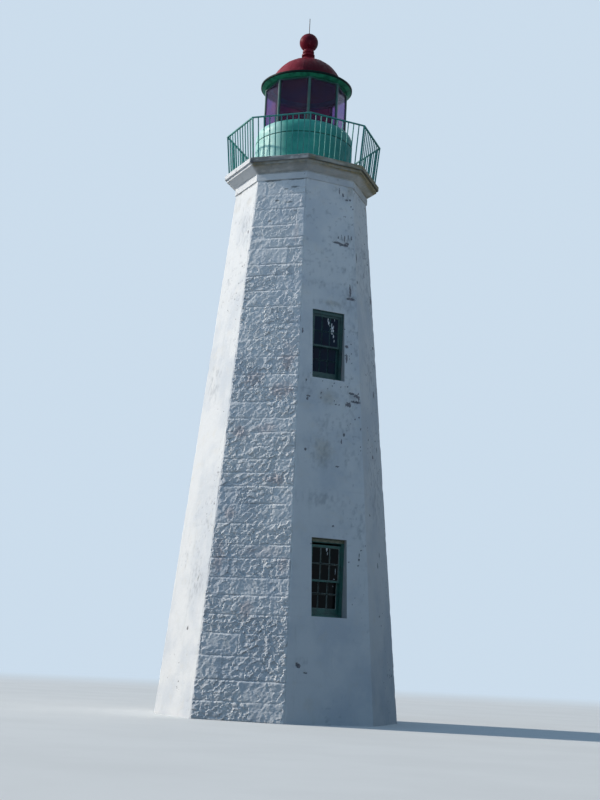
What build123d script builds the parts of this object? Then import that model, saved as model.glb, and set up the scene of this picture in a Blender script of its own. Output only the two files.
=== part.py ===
from build123d import *
from math import cos, radians, sin, sqrt, tan
import os

# An octagonal stone harbour lighthouse. Millimetres, +Z up, origin on the ground at the tower's axis.
# The front side faces -Y and holds two windows; the entrance is in the back side, facing +Y.

# Fits between pieces that are set into each other
FIT = 0.3

# Octagonal tower: apothems are measured from the axis to the middle of a side
BASE_APOTHEM = 2708
WALL_TOP_APOTHEM = 1567
WALL_HEIGHT = 13050
BASE_WALL_THICKNESS = 1100
TOP_WALL_THICKNESS = 510
FLOOR_THICKNESS = 150

# Rock-faced sides: the levels of the beds between their courses, which show as drafted joints
ROCK_FACED_SIDES = ["front_left", "back_right"]
BED_LEVELS = [
    420, 890, 1420, 1920, 2350, 2780, 3180, 3630, 3940, 4440, 4890, 5310, 5630, 5950, 6260, 6600,
    6940, 7340, 7680, 8010, 8450, 8890, 9280, 9730, 10130, 10520, 10810, 11240, 11500, 11840,
    12270, 12660,
]
BED_JOINT_DEPTH = 22
BED_JOINT_HEIGHT = 48

# Stone neck course, splayed cornice and gallery deck
NECK_HEIGHT = 157
NECK_PROJECTION = 20
CORNICE_FOOT_HEIGHT = 45
CORNICE_SPLAY_HEIGHT = 140
CORNICE_LIP_HEIGHT = 65
CORNICE_SETBACK = 14
CORNICE_PROJECTION = 228
CORNICE_STEP = 16
DECK_THICKNESS = 122
DECK_OVERHANG = 50
DECK_WASH = 12

# Trap door in the gallery deck, inside the lantern
HATCH_OPENING = 560
HATCH_LAP = 40
HATCH_THICKNESS = 30
HATCH_OFFSET = 420

# Iron railing that leans outwards: the foot is set back from the edge of the deck
RAIL_HEIGHT = 1072
RAIL_EDGE_DISTANCE = 105
RAIL_LEAN = 95
RAIL_BAR_WIDTH = 46
RAIL_BAR_THICKNESS = 26
BALUSTER_SIZE = 22
POST_SIZE = 36
BALUSTERS_PER_SIDE = 9

# Round parapet under the lantern, with a rounded shoulder above a seam
PARAPET_RADIUS = 1258
PARAPET_LEDGE = 2
PARAPET_HEIGHT = 885
SHOULDER_STRAIGHT = 120
SHOULDER_HEIGHT = 365
GALLERY_DOOR_WIDTH = 560
GALLERY_DOOR_HEIGHT = 740
GALLERY_DOOR_SILL = 110
GALLERY_DOOR_RECESS = 40
GALLERY_DOOR_THICKNESS = 35

# Octagonal lantern
LANTERN_APOTHEM = 996
LANTERN_RING_WIDTH = 66
LANTERN_SILL_HEIGHT = 35
LANTERN_GLASS_HEIGHT = 1126
LANTERN_HEAD_HEIGHT = 30
MULLION_WIDTH = 58
MULLION_DEPTH = 56
LANTERN_GLASS_THICKNESS = 8
SHOULDER_LEDGE = 4

# Roof: a round eave, a domed shell, a vent ball on its collar and the rod
EAVE_OVERHANG = 119
EAVE_RISE = 74
EAVE_EDGE = 34
EAVE_WASH = 26
EAVE_SHELF = 60
EAVE_LEDGE = 12
DOME_INSET = 119
DOME_THICKNESS = 20
DOME_SPRING_DROP = 200
COLLAR_SKIRT_RADIUS = 270
COLLAR_SKIRT_EDGE = 8
COLLAR_SKIRT_HEIGHT = 118
COLLAR_RADIUS = 128
COLLAR_LOWER_RING_RADIUS = 172
COLLAR_UPPER_RING_RADIUS = 152
COLLAR_RING_HEIGHT = 44
COLLAR_GROOVE = 52
BALL_RADIUS = 245
BALL_CENTRE_HEIGHT = 518
ROD_RADIUS = 9
ROD_HEIGHT = 450
ROD_SOCKET_RADIUS = 26
ROD_SOCKET_HEIGHT = 45

# Double-hung windows: a box frame with the upper sash outside the lower one
FRAME_JAMB = 62
FRAME_HEAD = 84
FRAME_SILL = 62
FRAME_DEPTH = 240
SASH_SETBACK = 26
SASH_THICKNESS = 50
SASH_GAP = 12
SASH_STILE = 44
SASH_TOP_RAIL = 54
SASH_MEETING_RAIL = 40
SASH_BOTTOM_RAIL = 140
PANE_THICKNESS = 5

LOWER_WINDOW_SILL = 2375
LOWER_WINDOW_WIDTH = 915
LOWER_WINDOW_HEIGHT = 1793
LOWER_WINDOW_OFFSET = -8
LOWER_WINDOW_REVEAL = 120
LOWER_WINDOW_DROP = 62

UPPER_WINDOW_SILL = 7985
UPPER_WINDOW_WIDTH = 868
UPPER_WINDOW_HEIGHT = 1700
UPPER_WINDOW_OFFSET = -30
UPPER_WINDOW_REVEAL = 52
UPPER_WINDOW_DROP = 0

# Entrance in the back side
DOORWAY_WIDTH = 960
DOORWAY_HEIGHT = 2140
DOOR_REVEAL = 260
DOOR_FRAME_WIDTH = 80
DOOR_FRAME_DEPTH = 150
DOOR_THICKNESS = 48
DOOR_SETBACK = 36
THRESHOLD_SETBACK = 22
STRAP_LENGTH = 560
STRAP_WIDTH = 50
STRAP_THICKNESS = 8
STRAP_INSET = 330
LATCH_WIDTH = 60
LATCH_HEIGHT = 190
LATCH_THICKNESS = 10
LATCH_INSET = 60
LATCH_LEVEL = 1050
KNOB_RADIUS = 26
KNOB_REACH = 62

# The tower's sides, anticlockwise from the front as seen from above
SIDES = [
    "front",
    "front_right",
    "right",
    "back_right",
    "back",
    "back_left",
    "left",
    "front_left",
]
SIDE_TURN = 360 / len(SIDES)
HALF_TURN = SIDE_TURN / 2

# Half a side's width, and the distance to a corner, for an apothem of 1
HALF_SIDE = tan(radians(HALF_TURN))
VERTEX = 1 / cos(radians(HALF_TURN))
QUARTER_TURN = 90

# Widths worked out from the sizes
INNER_TOP_APOTHEM = WALL_TOP_APOTHEM - TOP_WALL_THICKNESS
NECK_APOTHEM = WALL_TOP_APOTHEM + NECK_PROJECTION
CORNICE_APOTHEM = NECK_APOTHEM - CORNICE_SETBACK
CORNICE_TOP_APOTHEM = CORNICE_APOTHEM + CORNICE_PROJECTION
DECK_APOTHEM = CORNICE_TOP_APOTHEM + DECK_OVERHANG
RAIL_FOOT_APOTHEM = DECK_APOTHEM - RAIL_EDGE_DISTANCE
LANTERN_INNER_APOTHEM = LANTERN_APOTHEM - LANTERN_RING_WIDTH
PARAPET_INNER_RADIUS = LANTERN_INNER_APOTHEM - PARAPET_LEDGE
LANTERN_CORNER_RADIUS = LANTERN_APOTHEM * VERTEX
SHOULDER_TOP_RADIUS = LANTERN_CORNER_RADIUS + SHOULDER_LEDGE
EAVE_RADIUS = LANTERN_CORNER_RADIUS + EAVE_OVERHANG
DOME_FOOT_RADIUS = LANTERN_CORNER_RADIUS - DOME_INSET
DOME_RADIUS = sqrt(DOME_FOOT_RADIUS**2 + DOME_SPRING_DROP**2)

# Levels worked out from the sizes
NECK_LEVEL = WALL_HEIGHT
CORNICE_LEVEL = NECK_LEVEL + NECK_HEIGHT
CORNICE_HEIGHT = CORNICE_FOOT_HEIGHT + CORNICE_SPLAY_HEIGHT + CORNICE_LIP_HEIGHT
DECK_LEVEL = CORNICE_LEVEL + CORNICE_HEIGHT
DECK_TOP = DECK_LEVEL + DECK_THICKNESS
SEAM_LEVEL = DECK_TOP + PARAPET_HEIGHT
LANTERN_LEVEL = SEAM_LEVEL + SHOULDER_HEIGHT
GLASS_LEVEL = LANTERN_LEVEL + LANTERN_SILL_HEIGHT
HEAD_LEVEL = GLASS_LEVEL + LANTERN_GLASS_HEIGHT
EAVE_LEVEL = HEAD_LEVEL + LANTERN_HEAD_HEIGHT
DOME_LEVEL = EAVE_LEVEL + EAVE_RISE + EAVE_EDGE + EAVE_WASH
DOME_CENTRE = DOME_LEVEL - DOME_SPRING_DROP
DOME_APEX = DOME_CENTRE + DOME_RADIUS
BALL_CENTRE = DOME_APEX + BALL_CENTRE_HEIGHT
BALL_TOP = BALL_CENTRE + BALL_RADIUS


def outer_apothem(z):
    """Distance from the axis to the outer face of a wall at a height."""
    return BASE_APOTHEM + (WALL_TOP_APOTHEM - BASE_APOTHEM) * z / WALL_HEIGHT


def inner_apothem(z):
    """Distance from the axis to the inner face of a wall at a height."""
    base = BASE_APOTHEM - BASE_WALL_THICKNESS
    return base + (INNER_TOP_APOTHEM - base) * z / WALL_HEIGHT


def save(shape, name):
    """Write one node's file."""
    shape.label = name
    export_step(shape, f"parts/{name}.step")


def turned(shape, side):
    """Turn a piece made for the front side to another side."""
    return Rot(0, 0, SIDE_TURN * SIDES.index(side)) * shape


def all_round(shape):
    """Copies of a piece on every side, as solids of one node."""
    return Compound(children=[turned(shape, side) for side in SIDES])


def block(x, y, z):
    """A box between two limits along each axis."""
    size = [high - low for low, high in (x, y, z)]
    centre = [(high + low) / 2 for low, high in (x, y, z)]
    return Pos(*centre) * Box(*size)


def octagon(apothem, z):
    """A level octagonal face whose sides face the tower's eight sides."""
    corners = RegularPolygon(apothem * VERTEX, len(SIDES))
    return Pos(0, 0, z) * Rot(0, 0, HALF_TURN) * corners


def octagon_frustum(low, high, low_z, high_z):
    """An octagonal block between two levels, with an apothem at each."""
    return loft([octagon(low, low_z), octagon(high, high_z)], ruled=True)


def octagon_ring(outer, inner, low_z, high_z):
    """An upright octagonal ring between two levels."""
    body = octagon_frustum(outer, outer, low_z, high_z)
    return body - octagon_frustum(inner, inner, low_z, high_z)


def revolved(points):
    """Turn an outline of (radius, height) points about the tower's axis."""
    outline = Plane.XZ * make_face(Polyline(points, close=True))
    return revolve(outline, Axis.Z)


def sphere(radius, z):
    """A ball on the tower's axis."""
    return Pos(0, 0, z) * Sphere(radius)


# Tower walls


def mitre_section(z):
    """One wall's level section, cut to 45 degrees with its neighbours."""
    outer = outer_apothem(z)
    inner = inner_apothem(z)
    corners = [
        (-outer * HALF_SIDE, -outer),
        (outer * HALF_SIDE, -outer),
        (inner * HALF_SIDE, -inner),
        (-inner * HALF_SIDE, -inner),
    ]
    return Pos(0, 0, z) * make_face(Polyline(corners, close=True))


def wall():
    """One battered wall, in front position."""
    return loft([mitre_section(0), mitre_section(WALL_HEIGHT)], ruled=True)


def bed_joints():
    """V-shaped joints along every bed of a rock-faced side, in front position."""
    made = []
    for level in BED_LEVELS:
        face = -outer_apothem(level)
        # The sides of the V run on outwards past the face, to twice the joint's height.
        corners = [
            (face + BED_JOINT_DEPTH, level),
            (face - BED_JOINT_DEPTH, level - BED_JOINT_HEIGHT),
            (face - BED_JOINT_DEPTH, level + BED_JOINT_HEIGHT),
        ]
        outline = Plane.YZ * make_face(Polyline(corners, close=True))
        made.append(extrude(outline, BASE_APOTHEM, both=True))
    return made


class Window:
    """A window opening in one side, with its box frame, two sashes and their glass."""

    def __init__(self, sill, width, height, offset, reveal, drop):
        self.left = offset - width / 2
        self.right = offset + width / 2
        self.bottom = sill
        self.top = sill + height
        # The frame is upright in a battered wall, so its reveal is measured at the head.
        self.face = -outer_apothem(self.top) + reveal
        # How far the upper sash has slipped down from the head
        self.drop = drop

    def hole(self):
        """The straight opening cut through the wall."""
        depth = (-BASE_APOTHEM, 0)
        return block((self.left, self.right), depth, (self.bottom, self.top))

    def daylight(self):
        """The limits of the opening inside the frame, sideways and upwards."""
        across = (self.left + FIT + FRAME_JAMB, self.right - FIT - FRAME_JAMB)
        upright = (self.bottom + FIT + FRAME_SILL, self.top - FIT - FRAME_HEAD)
        return across, upright

    def frame(self):
        """Jambs, head and sill as one box frame."""
        depth = (self.face, self.face + FRAME_DEPTH)
        across = (self.left + FIT, self.right - FIT)
        upright = (self.bottom + FIT, self.top - FIT)
        return block(across, depth, upright) - block(
            self.daylight()[0], depth, self.daylight()[1]
        )

    def sash_places(self):
        """Each sash's outer plane, height limits, and its bottom and top rails."""
        low, high = self.daylight()[1]
        middle = (low + high) / 2
        outer = self.face + SASH_SETBACK
        inner = outer + SASH_THICKNESS + SASH_GAP
        lap = SASH_MEETING_RAIL / 2
        upper_limits = (middle - lap - self.drop, high - FIT - self.drop)
        upper = (outer, upper_limits, SASH_MEETING_RAIL, SASH_TOP_RAIL)
        lower = (inner, (low + FIT, middle + lap), SASH_BOTTOM_RAIL, SASH_MEETING_RAIL)
        return upper, lower

    def sash_opening(self, place):
        """The limits of the glazed part of a sash, sideways and upwards."""
        across = self.daylight()[0]
        low, high = place[1]
        sideways = (across[0] + FIT + SASH_STILE, across[1] - FIT - SASH_STILE)
        return sideways, (low + place[2], high - place[3])

    def sashes(self):
        """Both sashes, each a ring of two stiles and two rails."""
        made = []
        for place in self.sash_places():
            plane, upright = place[:2]
            depth = (plane, plane + SASH_THICKNESS)
            across = (self.daylight()[0][0] + FIT, self.daylight()[0][1] - FIT)
            sideways, glazed = self.sash_opening(place)
            made.append(block(across, depth, upright) - block(sideways, depth, glazed))
        return Compound(children=made)

    def glass(self):
        """One sheet of glass in each sash."""
        made = []
        for place in self.sash_places():
            middle = place[0] + SASH_THICKNESS / 2
            depth = (middle - PANE_THICKNESS / 2, middle + PANE_THICKNESS / 2)
            sideways, glazed = self.sash_opening(place)
            across = (sideways[0] + FIT, sideways[1] - FIT)
            made.append(block(across, depth, (glazed[0] + FIT, glazed[1] - FIT)))
        return Compound(children=made)


LOWER_WINDOW = Window(
    LOWER_WINDOW_SILL,
    LOWER_WINDOW_WIDTH,
    LOWER_WINDOW_HEIGHT,
    LOWER_WINDOW_OFFSET,
    LOWER_WINDOW_REVEAL,
    LOWER_WINDOW_DROP,
)
UPPER_WINDOW = Window(
    UPPER_WINDOW_SILL,
    UPPER_WINDOW_WIDTH,
    UPPER_WINDOW_HEIGHT,
    UPPER_WINDOW_OFFSET,
    UPPER_WINDOW_REVEAL,
    UPPER_WINDOW_DROP,
)
WINDOWS = {
    "front_lower": ("front", LOWER_WINDOW),
    "front_upper": ("front", UPPER_WINDOW),
    "back_upper": ("back", UPPER_WINDOW),
}

# Entrance, made in front position and turned to the back

DOORWAY_TOP = FLOOR_THICKNESS + DOORWAY_HEIGHT
DOOR_FACE = -outer_apothem(DOORWAY_TOP) + DOOR_REVEAL


def doorway():
    """The opening cut through the wall down to the ground."""
    across = (-DOORWAY_WIDTH / 2, DOORWAY_WIDTH / 2)
    return block(across, (-BASE_APOTHEM, 0), (0, DOORWAY_TOP))


def door_threshold():
    """A stone step across the wall's whole thickness."""
    half = DOORWAY_WIDTH / 2 - FIT
    depth = (-outer_apothem(0) + THRESHOLD_SETBACK, -inner_apothem(0) - FIT)
    return block((-half, half), depth, (0, FLOOR_THICKNESS))


def door_frame():
    """Two posts and a head that stand on the threshold."""
    half = DOORWAY_WIDTH / 2 - FIT
    clear = half - DOOR_FRAME_WIDTH
    depth = (DOOR_FACE, DOOR_FACE + DOOR_FRAME_DEPTH)
    top = DOORWAY_TOP - FIT
    outside = block((-half, half), depth, (FLOOR_THICKNESS, top))
    inside = block((-clear, clear), depth, (FLOOR_THICKNESS, top - DOOR_FRAME_WIDTH))
    return outside - inside


def door_limits():
    """The leaf's half width, depth limits and height limits."""
    half = DOORWAY_WIDTH / 2 - FIT - DOOR_FRAME_WIDTH - FIT
    face = DOOR_FACE + DOOR_SETBACK
    top = DOORWAY_TOP - FIT - DOOR_FRAME_WIDTH - FIT
    return half, (face, face + DOOR_THICKNESS), (FLOOR_THICKNESS + FIT, top)


def door_leaf():
    """The closed door."""
    half, depth, upright = door_limits()
    return block((-half, half), depth, upright)


def door_hardware():
    """Two strap hinges and a latch plate with its knob."""
    half, depth, upright = door_limits()
    face = depth[0]
    pieces = []
    for level in (upright[0] + STRAP_INSET, upright[1] - STRAP_INSET):
        across = (-half, -half + STRAP_LENGTH)
        height = (level - STRAP_WIDTH / 2, level + STRAP_WIDTH / 2)
        pieces.append(block(across, (face - STRAP_THICKNESS, face), height))
    right = half - LATCH_INSET
    low = FLOOR_THICKNESS + LATCH_LEVEL - LATCH_HEIGHT / 2
    plate = block(
        (right - LATCH_WIDTH, right),
        (face - LATCH_THICKNESS, face),
        (low, low + LATCH_HEIGHT),
    )
    centre = right - LATCH_WIDTH / 2
    knob = Rot(QUARTER_TURN, 0, 0) * Cylinder(
        KNOB_RADIUS, KNOB_REACH, align=(Align.CENTER, Align.CENTER, Align.MIN)
    )
    pieces.append(plate + Pos(centre, face, low + LATCH_HEIGHT / 2) * knob)
    return Compound(children=pieces)


def ground_floor():
    """The stone floor that fills the inside of the tower's foot."""
    low = inner_apothem(0) - FIT
    high = inner_apothem(FLOOR_THICKNESS) - FIT
    return octagon_frustum(low, high, 0, FLOOR_THICKNESS)


# Cornice and gallery deck


def neck_course():
    """A plain projecting course on top of the walls."""
    return octagon_ring(NECK_APOTHEM, INNER_TOP_APOTHEM, NECK_LEVEL, CORNICE_LEVEL)


def cornice():
    """A foot fillet, a straight splay and a lip that carry the deck."""
    splay_level = CORNICE_LEVEL + CORNICE_FOOT_HEIGHT
    lip_level = splay_level + CORNICE_SPLAY_HEIGHT
    splay_low = CORNICE_APOTHEM + CORNICE_STEP
    splay_high = CORNICE_TOP_APOTHEM - CORNICE_STEP
    body = octagon_frustum(CORNICE_APOTHEM, CORNICE_APOTHEM, CORNICE_LEVEL, splay_level)
    body += octagon_frustum(splay_low, splay_high, splay_level, lip_level)
    body += octagon_frustum(
        CORNICE_TOP_APOTHEM, CORNICE_TOP_APOTHEM, lip_level, DECK_LEVEL
    )
    return body - octagon_frustum(
        INNER_TOP_APOTHEM, INNER_TOP_APOTHEM, CORNICE_LEVEL, DECK_LEVEL
    )


def gallery_deck():
    """The stone slab, with a weathered edge and the hole of the trap door."""
    edge_top = DECK_TOP - DECK_WASH
    slab = octagon_frustum(DECK_APOTHEM, DECK_APOTHEM, DECK_LEVEL, edge_top)
    slab += octagon_frustum(DECK_APOTHEM, DECK_APOTHEM - DECK_WASH, edge_top, DECK_TOP)
    half = HATCH_OPENING / 2
    across = (-half, half)
    along = (HATCH_OFFSET - half, HATCH_OFFSET + half)
    return slab - block(across, along, (DECK_LEVEL, DECK_TOP))


def deck_hatch():
    """The trap door, which laps over the edges of its hole."""
    half = HATCH_OPENING / 2 + HATCH_LAP
    along = (HATCH_OFFSET - half, HATCH_OFFSET + half)
    return block((-half, half), along, (DECK_TOP, DECK_TOP + HATCH_THICKNESS))


# Railing

RAIL_UNDERSIDE = RAIL_HEIGHT - RAIL_BAR_THICKNESS
RAIL_UNDERSIDE_APOTHEM = RAIL_FOOT_APOTHEM + RAIL_LEAN * RAIL_UNDERSIDE / RAIL_HEIGHT
RAIL_TOP_APOTHEM = RAIL_FOOT_APOTHEM + RAIL_LEAN


def leaning_bar(size, foot, head, angle=0):
    """A square bar from a foot point on the deck to a head point under the rail."""
    sections = []
    for point, z in ((foot, DECK_TOP), (head, DECK_TOP + RAIL_UNDERSIDE)):
        sections.append(Pos(point[0], point[1], z) * Rot(0, 0, angle) * Rectangle(size, size))
    return loft(sections, ruled=True)


def railing_panel():
    """One side's top rail, mitred at its ends, on nine leaning balusters."""
    half_bar = RAIL_BAR_WIDTH / 2
    low, high = DECK_TOP + RAIL_UNDERSIDE, DECK_TOP + RAIL_HEIGHT
    outer = RAIL_UNDERSIDE_APOTHEM + half_bar
    inner = RAIL_UNDERSIDE_APOTHEM - half_bar
    corners = [
        (-outer * HALF_SIDE + FIT, -outer),
        (outer * HALF_SIDE - FIT, -outer),
        (inner * HALF_SIDE - FIT, -inner),
        (-inner * HALF_SIDE + FIT, -inner),
    ]
    rail = extrude(Pos(0, 0, low) * make_face(Polyline(corners, close=True)), high - low)
    for number in range(1, BALUSTERS_PER_SIDE + 1):
        share = 2 * number / (BALUSTERS_PER_SIDE + 1) - 1
        foot = (share * RAIL_FOOT_APOTHEM * HALF_SIDE, -RAIL_FOOT_APOTHEM)
        head = (share * RAIL_UNDERSIDE_APOTHEM * HALF_SIDE, -RAIL_UNDERSIDE_APOTHEM)
        rail += leaning_bar(BALUSTER_SIZE, foot, head)
    return rail


def corner_posts():
    """Eight posts under the corners of the top rail."""
    foot = RAIL_FOOT_APOTHEM * VERTEX
    head = RAIL_UNDERSIDE_APOTHEM * VERTEX
    post = leaning_bar(POST_SIZE, (0, -foot), (0, -head))
    return all_round(Rot(0, 0, HALF_TURN) * post)


# Parapet


def tube(outer, inner, low_z, high_z):
    """An upright round tube between two levels."""
    points = [(inner, low_z), (outer, low_z), (outer, high_z), (inner, high_z)]
    return revolved(points)


def gallery_door_hole(clearance=0):
    """The opening of the low door to the gallery, through the back of the parapet."""
    half = GALLERY_DOOR_WIDTH / 2 - clearance
    low = DECK_TOP + GALLERY_DOOR_SILL + clearance
    high = DECK_TOP + GALLERY_DOOR_SILL + GALLERY_DOOR_HEIGHT - clearance
    return block((-half, half), (0, PARAPET_RADIUS), (low, high))


def parapet_wall():
    """The round drum that stands on the deck."""
    drum = tube(PARAPET_RADIUS, PARAPET_INNER_RADIUS, DECK_TOP, SEAM_LEVEL)
    return drum - gallery_door_hole()


def gallery_door():
    """A curved iron door, closed, a little behind the drum's face."""
    outer = PARAPET_RADIUS - GALLERY_DOOR_RECESS
    ring = tube(outer, outer - GALLERY_DOOR_THICKNESS, DECK_TOP, SEAM_LEVEL)
    return ring & gallery_door_hole(FIT)


def parapet_shoulder():
    """The rounded upper part, which narrows to the lantern."""
    straight_top = SEAM_LEVEL + SHOULDER_STRAIGHT
    outline = Polyline(
        (SHOULDER_TOP_RADIUS, LANTERN_LEVEL),
        (PARAPET_INNER_RADIUS, LANTERN_LEVEL),
        (PARAPET_INNER_RADIUS, SEAM_LEVEL),
        (PARAPET_RADIUS, SEAM_LEVEL),
        (PARAPET_RADIUS, straight_top),
    )
    crown = EllipticalCenterArc(
        (SHOULDER_TOP_RADIUS, straight_top),
        PARAPET_RADIUS - SHOULDER_TOP_RADIUS,
        LANTERN_LEVEL - straight_top,
        start_angle=0,
        arc_size=QUARTER_TURN,
    )
    return revolve(Plane.XZ * make_face([outline, crown]), Axis.Z)


# Lantern


def lantern_sill():
    """The octagonal ring under the glass."""
    return octagon_ring(
        LANTERN_APOTHEM, LANTERN_INNER_APOTHEM, LANTERN_LEVEL, GLASS_LEVEL
    )


def lantern_head():
    """The octagonal ring over the glass."""
    return octagon_ring(LANTERN_APOTHEM, LANTERN_INNER_APOTHEM, HEAD_LEVEL, EAVE_LEVEL)


def mullion(clearance=0):
    """One corner bar of the lantern, to the right of the front side."""
    outline = octagon_frustum(LANTERN_APOTHEM, LANTERN_APOTHEM, GLASS_LEVEL, HEAD_LEVEL)
    half = MULLION_WIDTH / 2 + clearance
    inner = LANTERN_CORNER_RADIUS - MULLION_DEPTH - clearance
    depth = (-LANTERN_CORNER_RADIUS, -inner)
    bar = block((-half, half), depth, (GLASS_LEVEL, HEAD_LEVEL))
    return outline & Rot(0, 0, HALF_TURN) * bar


def lantern_mullions():
    """Eight corner bars, cut to the octagon's outline."""
    return all_round(mullion())


def lantern_glass():
    """One tall pane in each side, between the corner bars."""
    face = LANTERN_APOTHEM - LANTERN_RING_WIDTH / 2
    half = face * HALF_SIDE
    depth = (-face - LANTERN_GLASS_THICKNESS / 2, -face + LANTERN_GLASS_THICKNESS / 2)
    pane = block((-half, half), depth, (GLASS_LEVEL + FIT, HEAD_LEVEL - FIT))
    bar = mullion(FIT)
    pane -= bar
    pane -= Rot(0, 0, -SIDE_TURN) * bar
    return all_round(pane)


# Roof


def roof_eave():
    """A round drip ring with a splayed underside and a sloping top."""
    rim_low = EAVE_LEVEL + EAVE_RISE
    inner = DOME_FOOT_RADIUS - DOME_THICKNESS - EAVE_LEDGE
    return revolved(
        [
            (inner, EAVE_LEVEL),
            (LANTERN_CORNER_RADIUS, EAVE_LEVEL),
            (EAVE_RADIUS, rim_low),
            (EAVE_RADIUS, rim_low + EAVE_EDGE),
            (DOME_FOOT_RADIUS + EAVE_SHELF, DOME_LEVEL),
            (inner, DOME_LEVEL),
        ]
    )


def roof_dome():
    """A thin domed shell that stands on the eave."""
    shell = sphere(DOME_RADIUS, DOME_CENTRE) - sphere(
        DOME_RADIUS - DOME_THICKNESS, DOME_CENTRE
    )
    reach = DOME_RADIUS + EAVE_RADIUS
    upper = block((-reach, reach), (-reach, reach), (DOME_LEVEL, DOME_LEVEL + reach))
    return shell & upper


def disc(radius, low_z, height):
    """An upright cylinder on the tower's axis."""
    centred_on_foot = (Align.CENTER, Align.CENTER, Align.MIN)
    return Pos(0, 0, low_z) * Cylinder(radius, height, align=centred_on_foot)


def vent_collar():
    """A flared skirt on the dome and a neck with two rings, hollowed to fit the ball."""
    skirt_rise = sqrt(DOME_RADIUS**2 - COLLAR_SKIRT_RADIUS**2)
    skirt_low = DOME_CENTRE + skirt_rise + COLLAR_SKIRT_EDGE
    skirt_top = DOME_APEX + COLLAR_SKIRT_HEIGHT
    outline = Polyline(
        (COLLAR_RADIUS, skirt_top),
        (0, skirt_top),
        (0, DOME_CENTRE),
        (COLLAR_SKIRT_RADIUS, DOME_CENTRE),
        (COLLAR_SKIRT_RADIUS, skirt_low),
    )
    flare = EllipticalCenterArc(
        (COLLAR_SKIRT_RADIUS, skirt_top),
        COLLAR_SKIRT_RADIUS - COLLAR_RADIUS,
        skirt_top - skirt_low,
        start_angle=2 * QUARTER_TURN,
        arc_size=QUARTER_TURN,
    )
    body = revolve(Plane.XZ * make_face([outline, flare]), Axis.Z)
    upper_ring_level = skirt_top + COLLAR_RING_HEIGHT + COLLAR_GROOVE
    body += disc(COLLAR_RADIUS, DOME_APEX, BALL_CENTRE - DOME_APEX)
    body += disc(COLLAR_LOWER_RING_RADIUS, skirt_top, COLLAR_RING_HEIGHT)
    body += disc(COLLAR_UPPER_RING_RADIUS, upper_ring_level, COLLAR_RING_HEIGHT)
    body -= sphere(DOME_RADIUS + FIT, DOME_CENTRE)
    return body - sphere(BALL_RADIUS + FIT, BALL_CENTRE)


def lightning_rod():
    """A thin rod in a small socket on top of the ball."""
    socket_top = BALL_TOP + ROD_SOCKET_HEIGHT
    body = revolved(
        [
            (0, BALL_CENTRE),
            (ROD_SOCKET_RADIUS, BALL_CENTRE),
            (ROD_SOCKET_RADIUS, BALL_TOP),
            (ROD_RADIUS, socket_top),
            (ROD_RADIUS, BALL_TOP + ROD_HEIGHT),
            (0, BALL_TOP + ROD_HEIGHT),
        ]
    )
    return body - sphere(BALL_RADIUS + FIT, BALL_CENTRE)


os.makedirs("parts", exist_ok=True)

plain_wall = wall()
coursed_wall = plain_wall - bed_joints()
plain_rail = railing_panel()
for side in SIDES:
    piece = turned(coursed_wall if side in ROCK_FACED_SIDES else plain_wall, side)
    for window_side, window in WINDOWS.values():
        if window_side == side:
            piece -= turned(window.hole(), side)
    if side == "back":
        piece -= turned(doorway(), side)
    save(piece, f"wall_{side}")
    save(turned(plain_rail, side), f"railing_{side}")

for name, (side, window) in WINDOWS.items():
    save(turned(window.frame(), side), f"{name}_frame")
    save(turned(window.sashes(), side), f"{name}_sashes")
    save(turned(window.glass(), side), f"{name}_glass")

save(turned(door_threshold(), "back"), "door_threshold")
save(turned(door_frame(), "back"), "door_frame")
save(turned(door_leaf(), "back"), "door_leaf")
save(turned(door_hardware(), "back"), "door_hardware")

save(ground_floor(), "ground_floor")
save(neck_course(), "neck_course")
save(cornice(), "cornice")
save(gallery_deck(), "gallery_deck")
save(deck_hatch(), "deck_hatch")
save(corner_posts(), "railing_posts")
save(parapet_wall(), "parapet_wall")
save(gallery_door(), "gallery_door")
save(parapet_shoulder(), "parapet_shoulder")
save(lantern_sill(), "lantern_sill")
save(lantern_mullions(), "lantern_mullions")
save(lantern_glass(), "lantern_glass")
save(lantern_head(), "lantern_head")
save(roof_eave(), "roof_eave")
save(roof_dome(), "roof_dome")
save(vent_collar(), "vent_collar")
save(sphere(BALL_RADIUS, BALL_CENTRE), "vent_ball")
save(lightning_rod(), "lightning_rod")
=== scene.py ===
import math

import bpy
import numpy as np
from mathutils import Matrix, Vector
from mathutils.geometry import tessellate_polygon


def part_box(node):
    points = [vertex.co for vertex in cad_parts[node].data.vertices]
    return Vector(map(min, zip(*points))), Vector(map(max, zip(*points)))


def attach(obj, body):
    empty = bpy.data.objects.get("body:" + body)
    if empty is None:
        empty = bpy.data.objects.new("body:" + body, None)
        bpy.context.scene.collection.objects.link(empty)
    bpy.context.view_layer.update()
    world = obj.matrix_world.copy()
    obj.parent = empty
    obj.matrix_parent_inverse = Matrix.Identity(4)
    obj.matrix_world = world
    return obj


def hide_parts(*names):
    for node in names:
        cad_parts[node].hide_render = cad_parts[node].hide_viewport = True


# Looks of an octagonal stone lighthouse: weathered masonry, paint, glass and small fittings.
# Metres, +Z up. A side's pieces are made in front position, facing -Y, and turned to their side.

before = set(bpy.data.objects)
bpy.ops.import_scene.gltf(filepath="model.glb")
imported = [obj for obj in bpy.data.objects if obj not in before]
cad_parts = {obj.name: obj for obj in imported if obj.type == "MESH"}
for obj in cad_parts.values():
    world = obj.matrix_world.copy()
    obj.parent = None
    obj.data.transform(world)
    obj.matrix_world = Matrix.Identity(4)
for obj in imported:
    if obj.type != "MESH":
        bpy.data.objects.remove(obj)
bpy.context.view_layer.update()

# Sizes of the solids that their boxes don't tell

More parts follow.
